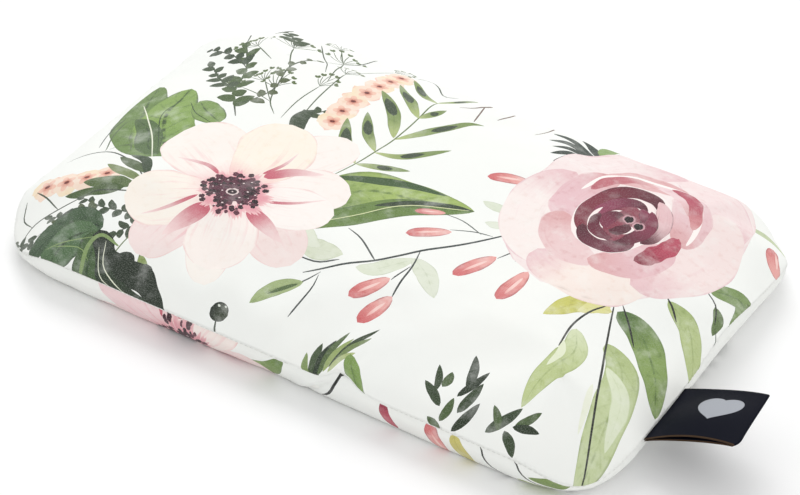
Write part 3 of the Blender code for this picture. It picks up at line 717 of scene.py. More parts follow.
# Near the front edge: the dark berry, the green sprig by the fold, and the toothed sprigs.
stalk([(-40, -129), (-38, -134), (-36, -140)], 1.1, "364132")
draw([(-45.5, -126), (-34.5, -126.5)], 5.6, "444d3d", root="272f25", rim="1d231c", rim_width=0.3,
     root_reach=0.8, wash=1.0)
draw([(-42.5, -123.4), (-40.7, -123.9)], 0.7, "dbe0d6")
draw([(-38.5, -122.6), (-37.0, -123.2)], 0.6, "dbe0d6")
place_print(2, -5)
stalk([(24, -137), (21, -130), (20, -118)], 0.9, "455634")
for number, (foot, tip, half, paint) in enumerate((
    ((22, -134), (19, -115), 2.8, "46573a"), ((23, -133), (25, -111), 2.6, "2c3a28"),
    ((24, -130), (29, -105), 1.9, "55693f"), ((26, -128), (33, -108), 1.9, "95a768"),
    ((28, -126), (42, -98), 1.6, "39482f"), ((30, -124), (41, -104), 1.6, "728552"),
    ((29, -129), (38, -115), 2.0, "adba7f"), ((26, -134), (37, -126), 1.8, "55693f"),
    ((21, -136), (13, -122), 2.0, "81965c"), ((22, -138), (30, -134), 1.8, "455634"),
)):
    bow = ((foot[0] + tip[0]) / 2 - 1.5, (foot[1] + tip[1]) / 2)
    leaf([foot, bow, tip], half, paint, vein=0.2, seed=number)
leaf([(36, -117), (43, -127), (54, -136)], 5.2, "7f9a55", rim="4f6a38", vein=0.7, seed=33)
leaf([(24, -139), (32, -142), (42, -143)], 3.2, "566c3f", rim="43572c", vein=0.4, seed=34)
place_print(0, 0)
stalk([(108, -138), (104, -124), (100, -114)], 1.2, "2f3c2a")
stalk([(101, -138), (93, -125), (89, -115)], 1.1, "2f3c2a")
stalk([(104, -139), (116, -132), (128, -126), (138, -121)], 1.1, "2f3c2a")
for number, (foot, tip, half) in enumerate((
    ((94, -126), (80, -117), 2.6), ((90, -117), (90, -108), 2.6), ((103, -114), (96, -95), 2.8),
    ((104, -126), (109, -108), 2.8), ((97, -132), (99, -120), 2.4), ((105, -134), (113, -118), 2.6),
    ((122, -129), (134, -112), 3.0), ((135, -122), (144, -110), 2.5), ((134, -122), (148, -119), 2.5),
    ((131, -125), (141, -134), 2.8), ((99, -136), (90, -132), 2.4), ((100, -119), (108, -101), 2.4),
    ((88, -120), (82, -107), 2.0), ((128, -126), (120, -116), 2.2),
)):
    bow = ((foot[0] + tip[0]) / 2 + 0.8, (foot[1] + tip[1]) / 2)
    leaf([foot, bow, tip], half, ("37472e", "4c6038", "293624")[number % 3], rim="1e291a", vein=0.3,
         seed=number)

# Round the rose: the dark fan, the ochre leaf, the long pale leaves and their dark stalks.
for number, (foot, tip, half) in enumerate((
    ((66, 98), (33, 108), 3.2), ((66, 96), (36, 97), 3.4), ((66, 94), (43, 86), 3.2),
    ((66, 90), (47, 76), 3.2), ((66, 88), (53, 68), 3.4), ((68, 100), (48, 116), 3.0),
)):
    leaf([foot, ((foot[0] + tip[0]) / 2, (foot[1] + tip[1]) / 2 + 2), tip], half, "303d33", rim="1c241f",
         vein=0.6, seed=number)
leaf([(70, 102), (66, 114), (70, 126)], 5.0, "87a360", vein=0.5, seed=35)
leaf([(138, -24), (124, -34), (113, -56)], 6.2, "c9c86a", rim="a9a248", vein=0.5, seed=36, root="d9d48a")
leaf([(140, -26), (132, -30), (126, -40)], 4.0, "dcd993", rim="b5ad5c", vein=0.3, seed=37)
leaf([(132, -52), (139, -70), (134, -92), (133, -112)], 7.6, "bcc98f", rim="8a9c5c", root="d3dcb6", vein=0.5,
     seed=38, skew=0.72)
leaf([(131, -66), (134, -76), (132, -86)], 2.2, "e3e9cc", vein=0.1, seed=39)
leaf([(148, -48), (163, -60), (172, -92), (176, -128)], 11.5, "c3cfa0", rim="90a264", root="a9b97c", vein=0.6,
     seed=40, skew=0.9, fullness=0.62)
leaf([(156, -64), (172, -78), (178, -104)], 5.6, "dbe3c6", rim="c3cfa3", vein=0.3, seed=41)
leaf([(156, -80), (160, -94), (163, -106)], 1.9, "ecefdd", vein=0.1, seed=42)
leaf([(142, -24), (160, -28), (176, -46), (188, -66)], 9.5, "859d59", rim="637d44", root="567140", vein=0.9,
     seed=43, skew=0.78, fullness=0.66)
leaf([(158, 2), (174, -4), (184, -16), (193, -32)], 6.6, "b7c58c", rim="8a9c5c", root="a0b272", vein=0.6,
     seed=44)
leaf([(170, 28), (184, 40), (190, 34), (192, 14)], 7.4, "7a9256", rim="566f3e", vein=0.7, seed=45,
     fullness=0.55)
leaf([(178, 20), (184, 14), (186, 3)], 3.6, "64794a", rim="455634", vein=0.5, seed=46)
stalk([(136, -24), (131, -36), (129, -52), (131, -72)], 1.2, "272a24", taper=0.0)
stalk([(138, -20), (147, -44), (158, -76), (177, -124)], 1.3, "272a24", taper=0.0)
stalk([(142, -18), (152, -28), (160, -38)], 1.2, "272a24", taper=0.0)
stalk([(156, 4), (162, 0), (168, -6)], 1.2, "272a24", taper=0.0)
stalk([(169, 26), (178, 21), (184, 10)], 1.0, "272a24", taper=0.0)
leaf([(160, 100), (172, 112), (186, 112)], 4.0, "c0cca5", rim="a1b27e", vein=0.4, seed=47)
stalk([(186, 8), (192, -4), (198, -8)], 0.7)
stalk([(188, 44), (196, 40), (204, 30)], 0.7)
sprig([(190, -30), (198, -44), (206, -40)], 0.7, 6, 2.2, "404e3a", reach=7)
sprig([(190, 12), (202, 14), (210, 4)], 0.7, 6, 2.4, "536441", reach=8)

# The anemone.
place_print(-75, -59)
anemone((
    (20, -58, 13, "f6f0e9", "efd2cf"),
    (33, 76, 18, "f6efe9", "efbfc0"),
    (-56, 37, 26, "f6eee7", "efc6c6"),
    (54, 34, 20, "f6eee8", "e9a9b0"),
    (-6, 71, 22, "f6eddf", "efbfbf"),
    (55, -30, 17, "f1dfdb", "e3929e"),
    (-24, -57, 17, "f0dedb", "e3929e"),
    (-50, -30, 20, "f6eee4", "efbcc0"),
    (56, 13, 18, "f7f0eb", "efc2c4"),
    (16, -50, 20, "f6ede7", "f0cfcd"),
))
place_print(0, 0)


# The rose: broad outer petals, a pink middle, and a dark coil of petals round its heart.
def rose_arc(start, stop, far, half, paint, heart=(0, 0), wide=(60, 86), lean=8, **finish):
    """A petal laid along part of a ring round the rose's heart."""
    path = []
    for turn in np.linspace(math.radians(start), math.radians(stop), 7):
        x, y = wide[0] * far * math.cos(turn), wide[1] * far * math.sin(turn)
        slant = math.radians(lean)
        drift_x, drift_y = heart[0] * (1 - far), heart[1] * (1 - far)
        path.append((x * math.cos(slant) + y * math.sin(slant) + drift_x,
                     y * math.cos(slant) - x * math.sin(slant) + drift_y))
    draw(path, half, paint, **finish)


def rose():
    draw([(-14, -84), (-2, 0), (14, 86)], 60, "f1e2e0", rim="e3c0c4", rim_width=0.05, wash=1.0,
         ragged=0.02, steps=30)
    core = (-5, -14)
    outer = (
        (20, 110, "f0dcdb", 20), (95, 190, "f1e2e0", 19), (170, 262, "f4e9e5", 19), (245, 325, "f4e6de", 17),
        (-45, 45, "f1dfdc", 19),
    )
    for number, (start, stop, paint, half) in enumerate(outer):
        rose_arc(start, stop, 0.76, half, paint, core, root="e6c3c6", rim="e2bcc2", rim_width=0.06,
                 root_reach=0.4, streak=0.25, wash=1.0, ragged=0.03, seed=number, steps=30)
    middle = (
        (5, 80, "e7c6c9", 12), (70, 150, "dfb2b3", 12), (140, 215, "e4bfc4", 12), (205, 290, "e8c9c9", 12),
        (280, 360, "e3bcc0", 12), (40, 110, "ebd0d2", 7),
    )
    for number, (start, stop, paint, half) in enumerate(middle):
        rose_arc(start, stop, 0.52, half, paint, core, root="d9a5a6", rim="ecd3d2", rim_width=0.06,
                 root_reach=0.5, streak=0.35, wash=1.0, ragged=0.05, seed=number + 7, steps=28)
    rose_arc(75, 175, 0.56, 2.0, "fbf3ef", core, wash=0.1)
    rose_arc(10, 60, 0.58, 1.6, "fbf3ef", core, wash=0.1)
    rose_arc(28, 92, 0.55, 4.6, "b24a5e", core, root="d89a9c", streak=0.5, wash=1.0, ragged=0.1, seed=3)
    rose_arc(100, 168, 0.5, 4.2, "bd6a74", core, root="e3b4b4", streak=0.5, wash=1.0, ragged=0.1, seed=5)
    rose_arc(-38, 14, 0.5, 6.0, "b4485d", core, root="8a2a40", root_reach=0.6, streak=0.6, wash=1.0,
             ragged=0.1, seed=6)
    draw([(-20, -16), (10, -12)], 20, "8a3a4c", root="6f2a3f", root_reach=0.6, streak=0.8, wash=0.6, seed=2)
    inner = (
        (0, 362, 0.36, 3.4, "f6ebe8"), (45, 245, 0.32, 6.2, "7c2a3c"), (222, 335, 0.3, 6.0, "6f2a3f"),
        (-20, 75, 0.33, 5.4, "e2bcbf"), (35, 150, 0.25, 2.0, "f7e9e6"), (60, 205, 0.22, 4.2, "8a3b55"),
        (170, 290, 0.235, 1.6, "f7e9e6"), (185, 300, 0.19, 4.0, "6b2238"), (20, 80, 0.2, 3.4, "84354f"),
        (-40, 40, 0.21, 3.6, "752a43"), (-35, 30, 0.15, 1.5, "f7e9e6"), (120, 250, 0.13, 1.3, "f7e9e6"),
        (100, 260, 0.09, 4.2, "7a2d46"), (270, 380, 0.1, 3.6, "561a2c"), (300, 420, 0.25, 4.4, "7e3149"),
    )
    for number, (start, stop, far, half, paint) in enumerate(inner):
        light = paint.startswith("f")
        rose_arc(start, stop, far, half, paint, core, root=paint if light else "55192b", root_reach=0.6,
                 streak=0.0 if light else 0.8, wash=0.1 if light else 0.5, ragged=0.07, seed=number,
                 fullness=0.6, rim=None if light else "4a1626", rim_width=0.1)
    for x, y in ((-0.5, -7), (6.5, -9.5)):
        draw([(x - 3.6, y), (x + 3.6, y + 0.6)], 3.7, "c79aa2", ragged=0.12, wash=0.1)
        draw([(x - 2.6, y), (x + 2.6, y + 0.5)], 2.8, "200c12", ragged=0.12, wash=0.0)


place_print(113, 51)
rose()
place_print(0, 0)

# The underside carries the same print: another anemone under the near edge, whose pink
# petals and dark boss show below the seam, and the rest spread towards the far edge.  The dark
# stalk by the fold is partly print and partly painted shadow of the gap in the fold.
print_panel = under_panel
leaf([(150, -132), (162, -129), (176, -128), (188, -124)], 4.6, "7d9256", rim="566f3e", vein=0.5, seed=50)
leaf([(142, -128), (156, -124), (170, -122)], 4.0, "a2b270", rim="75894f", vein=0.4, seed=51)
stalk([(122, -136), (128, -130), (138, -122), (150, -100)], 1.4, "272a24", taper=0.0)
stalk([(142, -136), (152, -129), (164, -124), (172, -104)], 1.4, "272a24", taper=0.0)
# Partly a printed stalk, partly painted shadow: a dark stroke along the gap where the fold is caught up.
stalk([(40, -137.5), (36, -134), (31, -131), (26, -128)], 1.7, "22241f", taper=0.0)
leaf([(106, -136), (112, -130), (118, -120)], 4.6, "c9c070", rim="a9a248", vein=0.5, seed=52)
bud([(92, -137), (96, -131), (101, -122)], 4.6)
draw([(64, -137), (68, -131), (72, -127)], 3.2, "b5485a", root="8f2f45", rim="8f2f45", rim_width=0.2)
leaf([(4, -136), (-6, -131), (-20, -128), (-32, -122)], 6.0, "859d59", rim="566f3e", root="688243", vein=0.8,
     seed=53)
sprig([(30, -112), (52, -104), (76, -100), (96, -90)], 1.2, 12, 3.4, "44533b", reach=15)
sprig([(-176, -96), (-160, -70), (-150, -40)], 1.2, 12, 3.6, "4c6038", reach=16)
sprig([(186, -40), (176, -6), (180, 34)], 1.2, 12, 3.4, "44533b", reach=14)
leaf([(-140, 18), (-112, 34), (-80, 30)], 14, "91ad60", rim="475f32", vein=0.9, seed=54)
leaf([(-20, -60), (0, -30), (30, -18)], 12, "859d59", rim="475f32", vein=0.9, seed=55)
for foot, tip in (
    ((120, -66), (140, -44)), ((20, 56), (38, 78)), ((-36, 60), (-52, 84)), ((-170, 40), (-160, 66)),
):
    bud([foot, ((foot[0] + tip[0]) / 2 + 2, (foot[1] + tip[1]) / 2), tip], 4.8)
    stalk([tip, (tip[0] + 4, tip[1] + 12), (tip[0] - 2, tip[1] + 26)], 1.2, "3b4240")
umbel([(-40, 96), (-56, 108), (-70, 112)], 1.0, 8, 14, 1.8, 1.5)
umbel([(-150, 84), (-140, 100), (-126, 108)], 1.0, 8, 14, 1.8, 1.5)
umbel([(60, -60), (76, -48), (84, -34)], 1.0, 8, 14, 1.8, 1.5)
place_print(-60, -119, turn=14)
anemone((
    (18, -56, 11, "f7efe8", "efc3c4"), (33, 60, 17, "f6ece6", "eaa9ae"), (-58, 22, 21, "f4dedd", "e79ba4"),
    (54, 32, 20, "f5eae4", "e79ba4"), (-10, 66, 24, "f6ecdf", "efb6b9"), (52, -20, 17, "f1dedb", "e79ba4"),
    (-24, -40, 16, "f0dcda", "e48f9b"), (-56, -12, 20, "f0d4d5", "e07f90"), (56, 8, 17, "f7eee9", "efb6b9"),
    (17, -50, 20, "f6eae4", "f0c5c5"),
))
place_print(60, 40, turn=96, size=0.9)
rose()
place_print(-106, 66, turn=60, size=0.62)
anemone((
    (33, 76, 17, "f6ece6", "eaa9ae"), (-52, 38, 23, "f6ece4", "efbfc2"), (54, 32, 20, "f5eae4", "e79ba4"),
    (-10, 73, 25, "f6ecdf", "efb6b9"), (54, -28, 18, "f1dedb", "e79ba4"), (-24, -56, 16, "f0dcda", "e48f9b"),
    (-50, -30, 20, "f6ede2", "eda9b0"), (17, -50, 20, "f6eae4", "f0c5c5"),
))
place_print(0, 0)

# ---- Stuffed cover: the sewn cover -----------------------------------------------------------
# The two printed panels meet in one drawn-in seam, slightly puckered along its length.  The
# cloth is cut finely enough for every printed shape to have its own clean edge.

CLOTH_STEP = 0.0030
RIM_POINTS = 440
RIM_RINGS = ((0.0005, 0), (0.0010, 0), (0.0017, 0.5), (0.0026, 0), (0.0040, 0))
RINGED_WIDTH = 0.0055
UNPRINTED_RIM = 0.0006
SHAPE_MARGIN = 0.0007
LOWEST_CLOTH = 0.0003
SEAM_SINK = 0.0019
TOP_LIP = 0.0006
UNDER_TUCK = 0.0030
SEAM_RADIUS = 0.193
PUCKER_HEIGHT = 0.0005
PUCKER_WAVES = ((430, 0.0, 0.5), (271, 1.3, 0.6), (790, 0.4, 0.25))
PUCKER_REACH = 0.008
PUCKER_START = 0.0016
LIP_RISE = 0.0005
LIP_PLACE = 0.0014
LIP_WIDTH = 0.0011
PATCH_PACE = 37
SWELL_HEIGHT = 0.0007
SWELL_PACE = 34
SWELL_EDGE = 0.03
FOLD_MIDDLE = 0.038
FOLD_LEFT = 0.0075
FOLD_RIGHT = 0.013
FOLD_FADE = 0.014
FOLD_PULL = 0.0040
FOLD_LIFT = 0.0085
FOLD_ROOM = 0.0013
ROOM_TOP = 0.026
ROOM_EASE = 0.004
FOLD_FRONT = -0.09
FOLD_AREA = 0.06
FOLD_GRID_STEP = 0.0009
FOLD_GRID_ROWS = 20
FOLD_GRID_COLUMNS = 44
FOLD_GRID_LEFT = 0.024
FOLD_GRID_INSET = 0.0046
POCKET_TOP = 0.004
POCKET_SHIFT = 0.0015
POCKET_WIDTH = 0.0022
POCKET_DEPTH = 0.0024
POCKET_EASE = 0.005
POCKET_FOOT = 0.003
FLAP_SHIFT = 0.0055
FLAP_WIDTH = 0.004
FLAP_RISE = 0.0016
CREASE_SLANT = 0.35
CREASE_WIDTH = 0.0026
CREASE_DEPTH = 0.0026
CREASE_FADE = 0.011
CREASE_START = 0.004
DIP_X = 0.046
DIP_LENGTH = 0.014
DIP_INSET = 0.016
DIP_WIDTH = 0.013
DIP_DEPTH = 0.0012


def along_seam(x, y):
    """About how far round the seam a place is, in metres, from the middle of the right side."""
    return math.atan2(y / HALF_WIDTH, x / HALF_LENGTH) * SEAM_RADIUS


def soft_wave(x, y, scale, seed):
    """A slow uneven swell between -1 and 1."""
    value = 0.0
    for index, (lean, size) in enumerate(((0.3, 1.0), (1.4, 1.31), (2.4, 0.77), (0.9, 1.9))):
        phase = seed * 1.9 + index * 2.3
        way = (x * math.cos(lean) + y * math.sin(lean)) * scale * size
        value += math.sin(way + phase) / (1 + 0.5 * index)
    return value / 2.6


def fold_at_zip(x, y, z, under):
    """The seam is caught up past the zip's end, over a pocket that slants down to the left."""
    near = math.exp(-max(y + HALF_WIDTH, 0) / FOLD_FADE)
    aside = x - FOLD_MIDDLE
    caught = bell(aside, FOLD_LEFT if aside < 0 else FOLD_RIGHT) * near
    z += FOLD_LIFT * caught * share_of(z, SEAM_HEIGHT) ** 2
    y += FOLD_PULL * caught * share_of(z - SEAM_HEIGHT, FOLD_LIFT)
    if under:
        below = share_of(SEAM_HEIGHT + FOLD_LIFT * caught - z, POCKET_EASE)
        line = FOLD_MIDDLE - POCKET_SHIFT - max(SEAM_HEIGHT + POCKET_TOP - z, 0)
        pocket = bell(x - line, POCKET_WIDTH) * near * below
        y += POCKET_DEPTH * pocket * share_of(z, POCKET_FOOT)
        flap = bell(x - line + FLAP_SHIFT, FLAP_WIDTH) * near * below
        room = FOLD_ROOM * caught * share_of(z, SEAM_HEIGHT) * share_of(ROOM_TOP - z, ROOM_EASE)
        y -= FLAP_RISE * flap + room
    else:
        inside = y + HALF_WIDTH
        crease = bell(aside - CREASE_SLANT * inside, CREASE_WIDTH) * math.exp(-inside / CREASE_FADE)
        z -= CREASE_DEPTH * crease * share_of(inside, CREASE_START)
        z -= DIP_DEPTH * (bell(x - DIP_X, DIP_LENGTH) * bell(inside - DIP_INSET, DIP_WIDTH))
    return x, y, z


def sew(panel, put, under):
    """The panel's flat points on the finished cover: drawn in, puckered, and caught at the fold."""
    def place(u, v):
        x, y, z = put(u, v)
        depth, out_x, out_y = inset_of(u, v, panel.excess)
        depth = max(depth, 0)
        sunk = SEAM_SINK * bell(depth, UNDER_TUCK if under else TOP_LIP)
        way = along_seam(x, y)
        gather = sum(math.sin(way * pace + phase) * share for pace, phase, share in PUCKER_WAVES)
        gather *= 0.55 + 0.45 * math.sin(way * PATCH_PACE + 0.8)
        lift = PUCKER_HEIGHT * gather * math.exp(-depth / PUCKER_REACH)
        lift *= 1 - math.exp(-depth / PUCKER_START)
        x += out_x * (0.7 * lift - sunk)
        y += out_y * (0.7 * lift - sunk)
        if under:
            z -= 0.4 * lift * share_of(z, 0.004)
        else:
            z += 0.7 * lift + SWELL_HEIGHT * share_of(depth, SWELL_EDGE) * soft_wave(x, y, SWELL_PACE, 2.0)
            z += LIP_RISE * bell(depth - LIP_PLACE, LIP_WIDTH)
        if y < FOLD_FRONT and abs(x - FOLD_MIDDLE) < FOLD_AREA:
            x, y, z = fold_at_zip(x, y, z, under)
        return x, y, z
    return place


def cut_panel(panel, put, under):
    """Triangles of one printed panel, each knowing the topmost painted shape it lies in."""
    rim, grid = cut_points(panel, RIM_POINTS, CLOTH_STEP)
    grid = [point for point in grid if inset_of(*point, panel.excess)[0] > RINGED_WIDTH]
    for depth, offset in RIM_RINGS:
        for index in range(RIM_POINTS):
            x, y, out_x, out_y = outline_place((index + offset) / RIM_POINTS)
            grid.append((x + out_x * (panel.excess - depth), y + out_y * (panel.excess - depth)))
    for row in range(FOLD_GRID_ROWS):
        v = FOLD_GRID_INSET + FOLD_GRID_STEP * row - HALF_WIDTH - panel.excess
        for column in range(FOLD_GRID_COLUMNS):
            grid.append((FOLD_MIDDLE - FOLD_GRID_LEFT + FOLD_GRID_STEP * column, v))
    points = [Vector(point) for point in rim + grid]
    shapes = [shape for shape in print_shapes if shape["panel"] is panel]
    loops = []
    for shape in shapes:
        loop = []
        area = 0.0
        ring = shape["outline"]
        for (ax, ay), (bx, by) in zip(ring, ring[1:] + ring[:1]):
            area += ax * by - bx * ay
        for u, v in ring if area > 0 else ring[::-1]:
            depth, out_x, out_y = inset_of(u, v, panel.excess)
            short = max(UNPRINTED_RIM - depth, 0)
            loop.append(len(points))
            points.append(Vector((u - out_x * short, v - out_y * short)))
        shape["outline"] = [tuple(points[index]) for index in loop]
        loops.append(loop)
    rim_edges = [(index, (index + 1) % RIM_POINTS) for index in range(RIM_POINTS)]
    verts, _, faces, vert_from, _, face_from = delaunay_2d_cdt(points, rim_edges, loops, 0, 2e-6)
    place = sew(panel, put, under)
    flat = np.array([(vert.x, vert.y) for vert in verts])
    faces = np.array(faces)
    return {
        "flat": flat, "places": np.array([place(u, v) for u, v in flat]), "faces": faces,
        "shape": topmost(flat[faces].mean(axis=1), face_from, shapes), "shapes": shapes,
        "rim": [min((s for s in source if s < RIM_POINTS), default=-1) for source in vert_from],
    }


def topmost(centres, face_from, shapes):
    """The last shape drawn over each triangle, or -1; a shape must really hold its triangles."""
    held = [[] for _ in shapes]
    for face, found in enumerate(face_from):
        for shape in found:
            held[shape].append(face)
    top = np.full(len(centres), -1)
    for number, shape in enumerate(shapes):
        mine = np.array(held[number], dtype=int)
        if not len(mine):
            continue
        ring = np.array(shape["outline"])
        low, high = ring.min(axis=0) - SHAPE_MARGIN, ring.max(axis=0) + SHAPE_MARGIN
        at = centres[mine]
        near = ((at >= low) & (at <= high)).all(axis=1)
        if not near.all():
            mine, at = mine[near], at[near]
            after = np.roll(ring, -1, axis=0)
            x, y = at[:, 0, None], at[:, 1, None]
            spans = (ring[None, :, 1] > y) != (after[None, :, 1] > y)
            rise = after[None, :, 1] - ring[None, :, 1]
            rise = np.where(rise == 0, 1e-12, rise)
            cut = ring[None, :, 0] + (y - ring[None, :, 1]) * (after[None, :, 0] - ring[None, :, 0]) / rise
            mine = mine[(spans & (x < cut)).sum(axis=1) % 2 == 1]
        top[mine] = number
    return top


def paint_corners(panel):
    """Colours, finish and place within the painted shape, for each triangle corner."""
    corners = panel["faces"].reshape(-1)
    owner = np.repeat(panel["shape"], 3)
    flat = panel["flat"][corners]
    layers = {name: np.ones((len(corners), 4)) for name in ("tint", "root", "rim", "habit")}
    layers["habit"][:] = 0
    for name in ("tint", "root", "rim"):
        layers[name][:, 3] = 0
    motif = np.zeros((len(corners), 2))
    order = np.argsort(owner, kind="stable")
    edges = np.searchsorted(owner[order], np.arange(len(panel["shapes"]) + 1))
    for number, shape in enumerate(panel["shapes"]):
        mine = order[edges[number]:edges[number + 1]]
        if not len(mine):
            continue
        rib = shape["midrib"]
        run = rib[1:] - rib[:-1]
        long = np.maximum((run ** 2).sum(axis=1), 1e-14)
        off = flat[mine][:, None, :] - rib[None, :-1, :]
        share = np.clip((off * run).sum(axis=2) / long, 0, 1)
        gap = off - share[:, :, None] * run
        apart = (gap ** 2).sum(axis=2)
        best = apart.argmin(axis=1)
        row = np.arange(len(mine))
        along = (best + share[row, best]) / (len(rib) - 1)
        side = run[best, 0] * gap[row, best, 1] - run[best, 1] * gap[row, best, 0]
        wide = shape["half"] * np.interp(along, np.linspace(0, 1, len(rib)), shape["profile"])
        motif[mine, 0] = along
        aside = np.clip(np.sign(side) * np.sqrt(apart[row, best]) / wide, -1.1, 1.1)
        motif[mine, 1] = aside + 3 * shape["seed"]
        layers["tint"][mine] = (*shape["paint"], 1)
        bleeds = shape["root"] != shape["paint"]
        layers["root"][mine] = (*shape["root"], shape["root_reach"] if bleeds else 0)
        layers["rim"][mine] = (*shape["rim"], shape["rim_width"])
        layers["habit"][mine] = (*shape["habit"], 1)
    return motif, layers


def make_cover():
    """Both panels in one mesh, sewn point to point along the rim, with their print's colours."""
    top = cut_panel(top_panel, top_place, False)
    under = cut_panel(under_panel, under_place, True)
    rim_place = {source: index for index, source in enumerate(top["rim"]) if source >= 0}
    renumber, extra = [], []
    for index, source in enumerate(under["rim"]):
        if source >= 0:
            renumber.append(rim_place[source])
        else:
            renumber.append(len(top["places"]) + len(extra))
            extra.append(index)
    places = swollen(np.vstack([top["places"], under["places"][extra]]))
    places[:, 2] = np.maximum(places[:, 2], LOWEST_CLOTH)
    faces = np.vstack([top["faces"], np.array(renumber)[under["faces"]][:, ::-1]])
    mesh = bpy.data.meshes.new("printed_cover")
    mesh.from_pydata(places, [], faces)
    painted = [paint_corners(top), paint_corners(under)]
    turned = np.arange(len(under["faces"]) * 3).reshape(-1, 3)[:, ::-1].reshape(-1)
    cloth = np.vstack([
        top["flat"][top["faces"].reshape(-1)],
        (under["flat"][under["faces"].reshape(-1)] + (0.5, 0.5))[turned],
    ])
    mesh.uv_layers.new(name="cloth").data.foreach_set("uv", cloth.ravel())
    motif = np.vstack([painted[0][0], painted[1][0][turned]])
    mesh.uv_layers.new(name="motif").data.foreach_set("uv", motif.ravel())
    for name in ("tint", "root", "rim", "habit"):
        layer = mesh.color_attributes.new(name, "FLOAT_COLOR", "CORNER")
        layer.data.foreach_set("color", np.vstack([painted[0][1][name], painted[1][1][name][turned]]).ravel())
    mesh.polygons.foreach_set("use_smooth", [True] * len(mesh.polygons))
    mesh.validate()
    return add_object("printed_cover", mesh)


cover = make_cover()


def fill_inputs(tree, node, inputs):
    """Link or set a node's inputs, given by number or name; _ in a name stands for a space."""
    for name, value in inputs.items():
        socket = node.inputs[name if isinstance(name, int) else name.replace("_", " ")]
        if isinstance(value, bpy.types.NodeSocket):
            tree.links.new(value, socket)
        else:
            socket.default_value = value
    return node


def put_node(tree, kind, settings=None, numbered=(), **inputs):
    """A node with its settings and its inputs, some of them as pairs of number and value."""
    made = tree.nodes.new(kind if "Node" in kind else "ShaderNode" + kind)
    for name, value in (settings or {}).items():
        setattr(made, name, value)
    return fill_inputs(tree, made, {**dict(numbered), **inputs})


def maths(tree, operation, *values):
    """One step of arithmetic on numbers that change over the surface."""
    return put_node(tree, "Math", {"operation": operation}, enumerate(values)).outputs[0]


def times(tree, first, second):
    return maths(tree, "MULTIPLY", first, second)


def flipped(tree, value):
    return maths(tree, "SUBTRACT", 1.0, value)


def ease_node(tree, value, low, high):
    """A smooth rise from 0 to 1 as the value goes from low to high."""
    settings = {"interpolation_type": "SMOOTHSTEP"}
    return put_node(tree, "MapRange", settings, enumerate((value, low, high))).outputs[0]


def blend_node(tree, share, first, second, kind="MIX"):
    settings = {"data_type": "RGBA", "blend_type": kind}
    return put_node(tree, "Mix", settings, zip((0, 6, 7), (share, first, second))).outputs[2]


def noise(tree, place, scale, detail, **inputs):
    return put_node(tree, "TexNoise", Vector=place, Scale=scale, Detail=detail, **inputs).outputs[0]


def woven(tree, colour, weave):
    """The colour under the painted shade of the weave, darker where its threads dip."""
    shaded = put_node(tree, "VectorMath", {"operation": "SCALE"}, [(0, colour)], Scale=weave.outputs["Shade"])
    return shaded.outputs[0]


def relief(tree, height, strength=0.5, distance=0.0001):
    return put_node(tree, "Bump", Height=height, Strength=strength, Distance=distance).outputs[0]


def opaque(code):
    """A paint code as a node's colour."""
    return (*tone(code), 1)


def new_group(name, inputs, outputs):
    tree = bpy.data.node_groups.new(name, "ShaderNodeTree")
    for socket, kind, value in inputs:
        made = tree.interface.new_socket(socket, in_out="INPUT", socket_type="NodeSocket" + kind)
        if value is not None:
            made.default_value = value
    for socket, kind in outputs:
        tree.interface.new_socket(socket, in_out="OUTPUT", socket_type="NodeSocket" + kind)
    return tree, tree.nodes.new("NodeGroupInput"), tree.nodes.new("NodeGroupOutput")


def make_weave_group():
    """Plain weave: threads that pass over and under, with slubs, as a height and a painted shade."""
    tree, given, result = new_group(
        "plain_weave", (("Place", "Vector", None), ("Pitch", "Float", 0.0006)),
        (("Height", "Float"), ("Shade", "Float")),
    )
    split = put_node(tree, "SeparateXYZ", Vector=given.outputs["Place"])
    turns = maths(tree, "DIVIDE", math.pi, given.outputs["Pitch"])
    across = times(tree, split.outputs[0], turns)
    along = times(tree, split.outputs[1], turns)
    over = times(tree, maths(tree, "SINE", across), maths(tree, "SINE", along))
    slub = noise(tree, given.outputs["Place"], 2600.0, 2.0)
    height = maths(tree, "MULTIPLY_ADD", slub, 0.6, maths(tree, "ABSOLUTE", over))
    # Painted shade: the colour is a little darker where the threads dip and lighter on the raised threads.
    shade = maths(tree, "MULTIPLY_ADD", height, 0.035, 0.965)
    fill_inputs(tree, result, {"Height": height, "Shade": shade})
    return tree


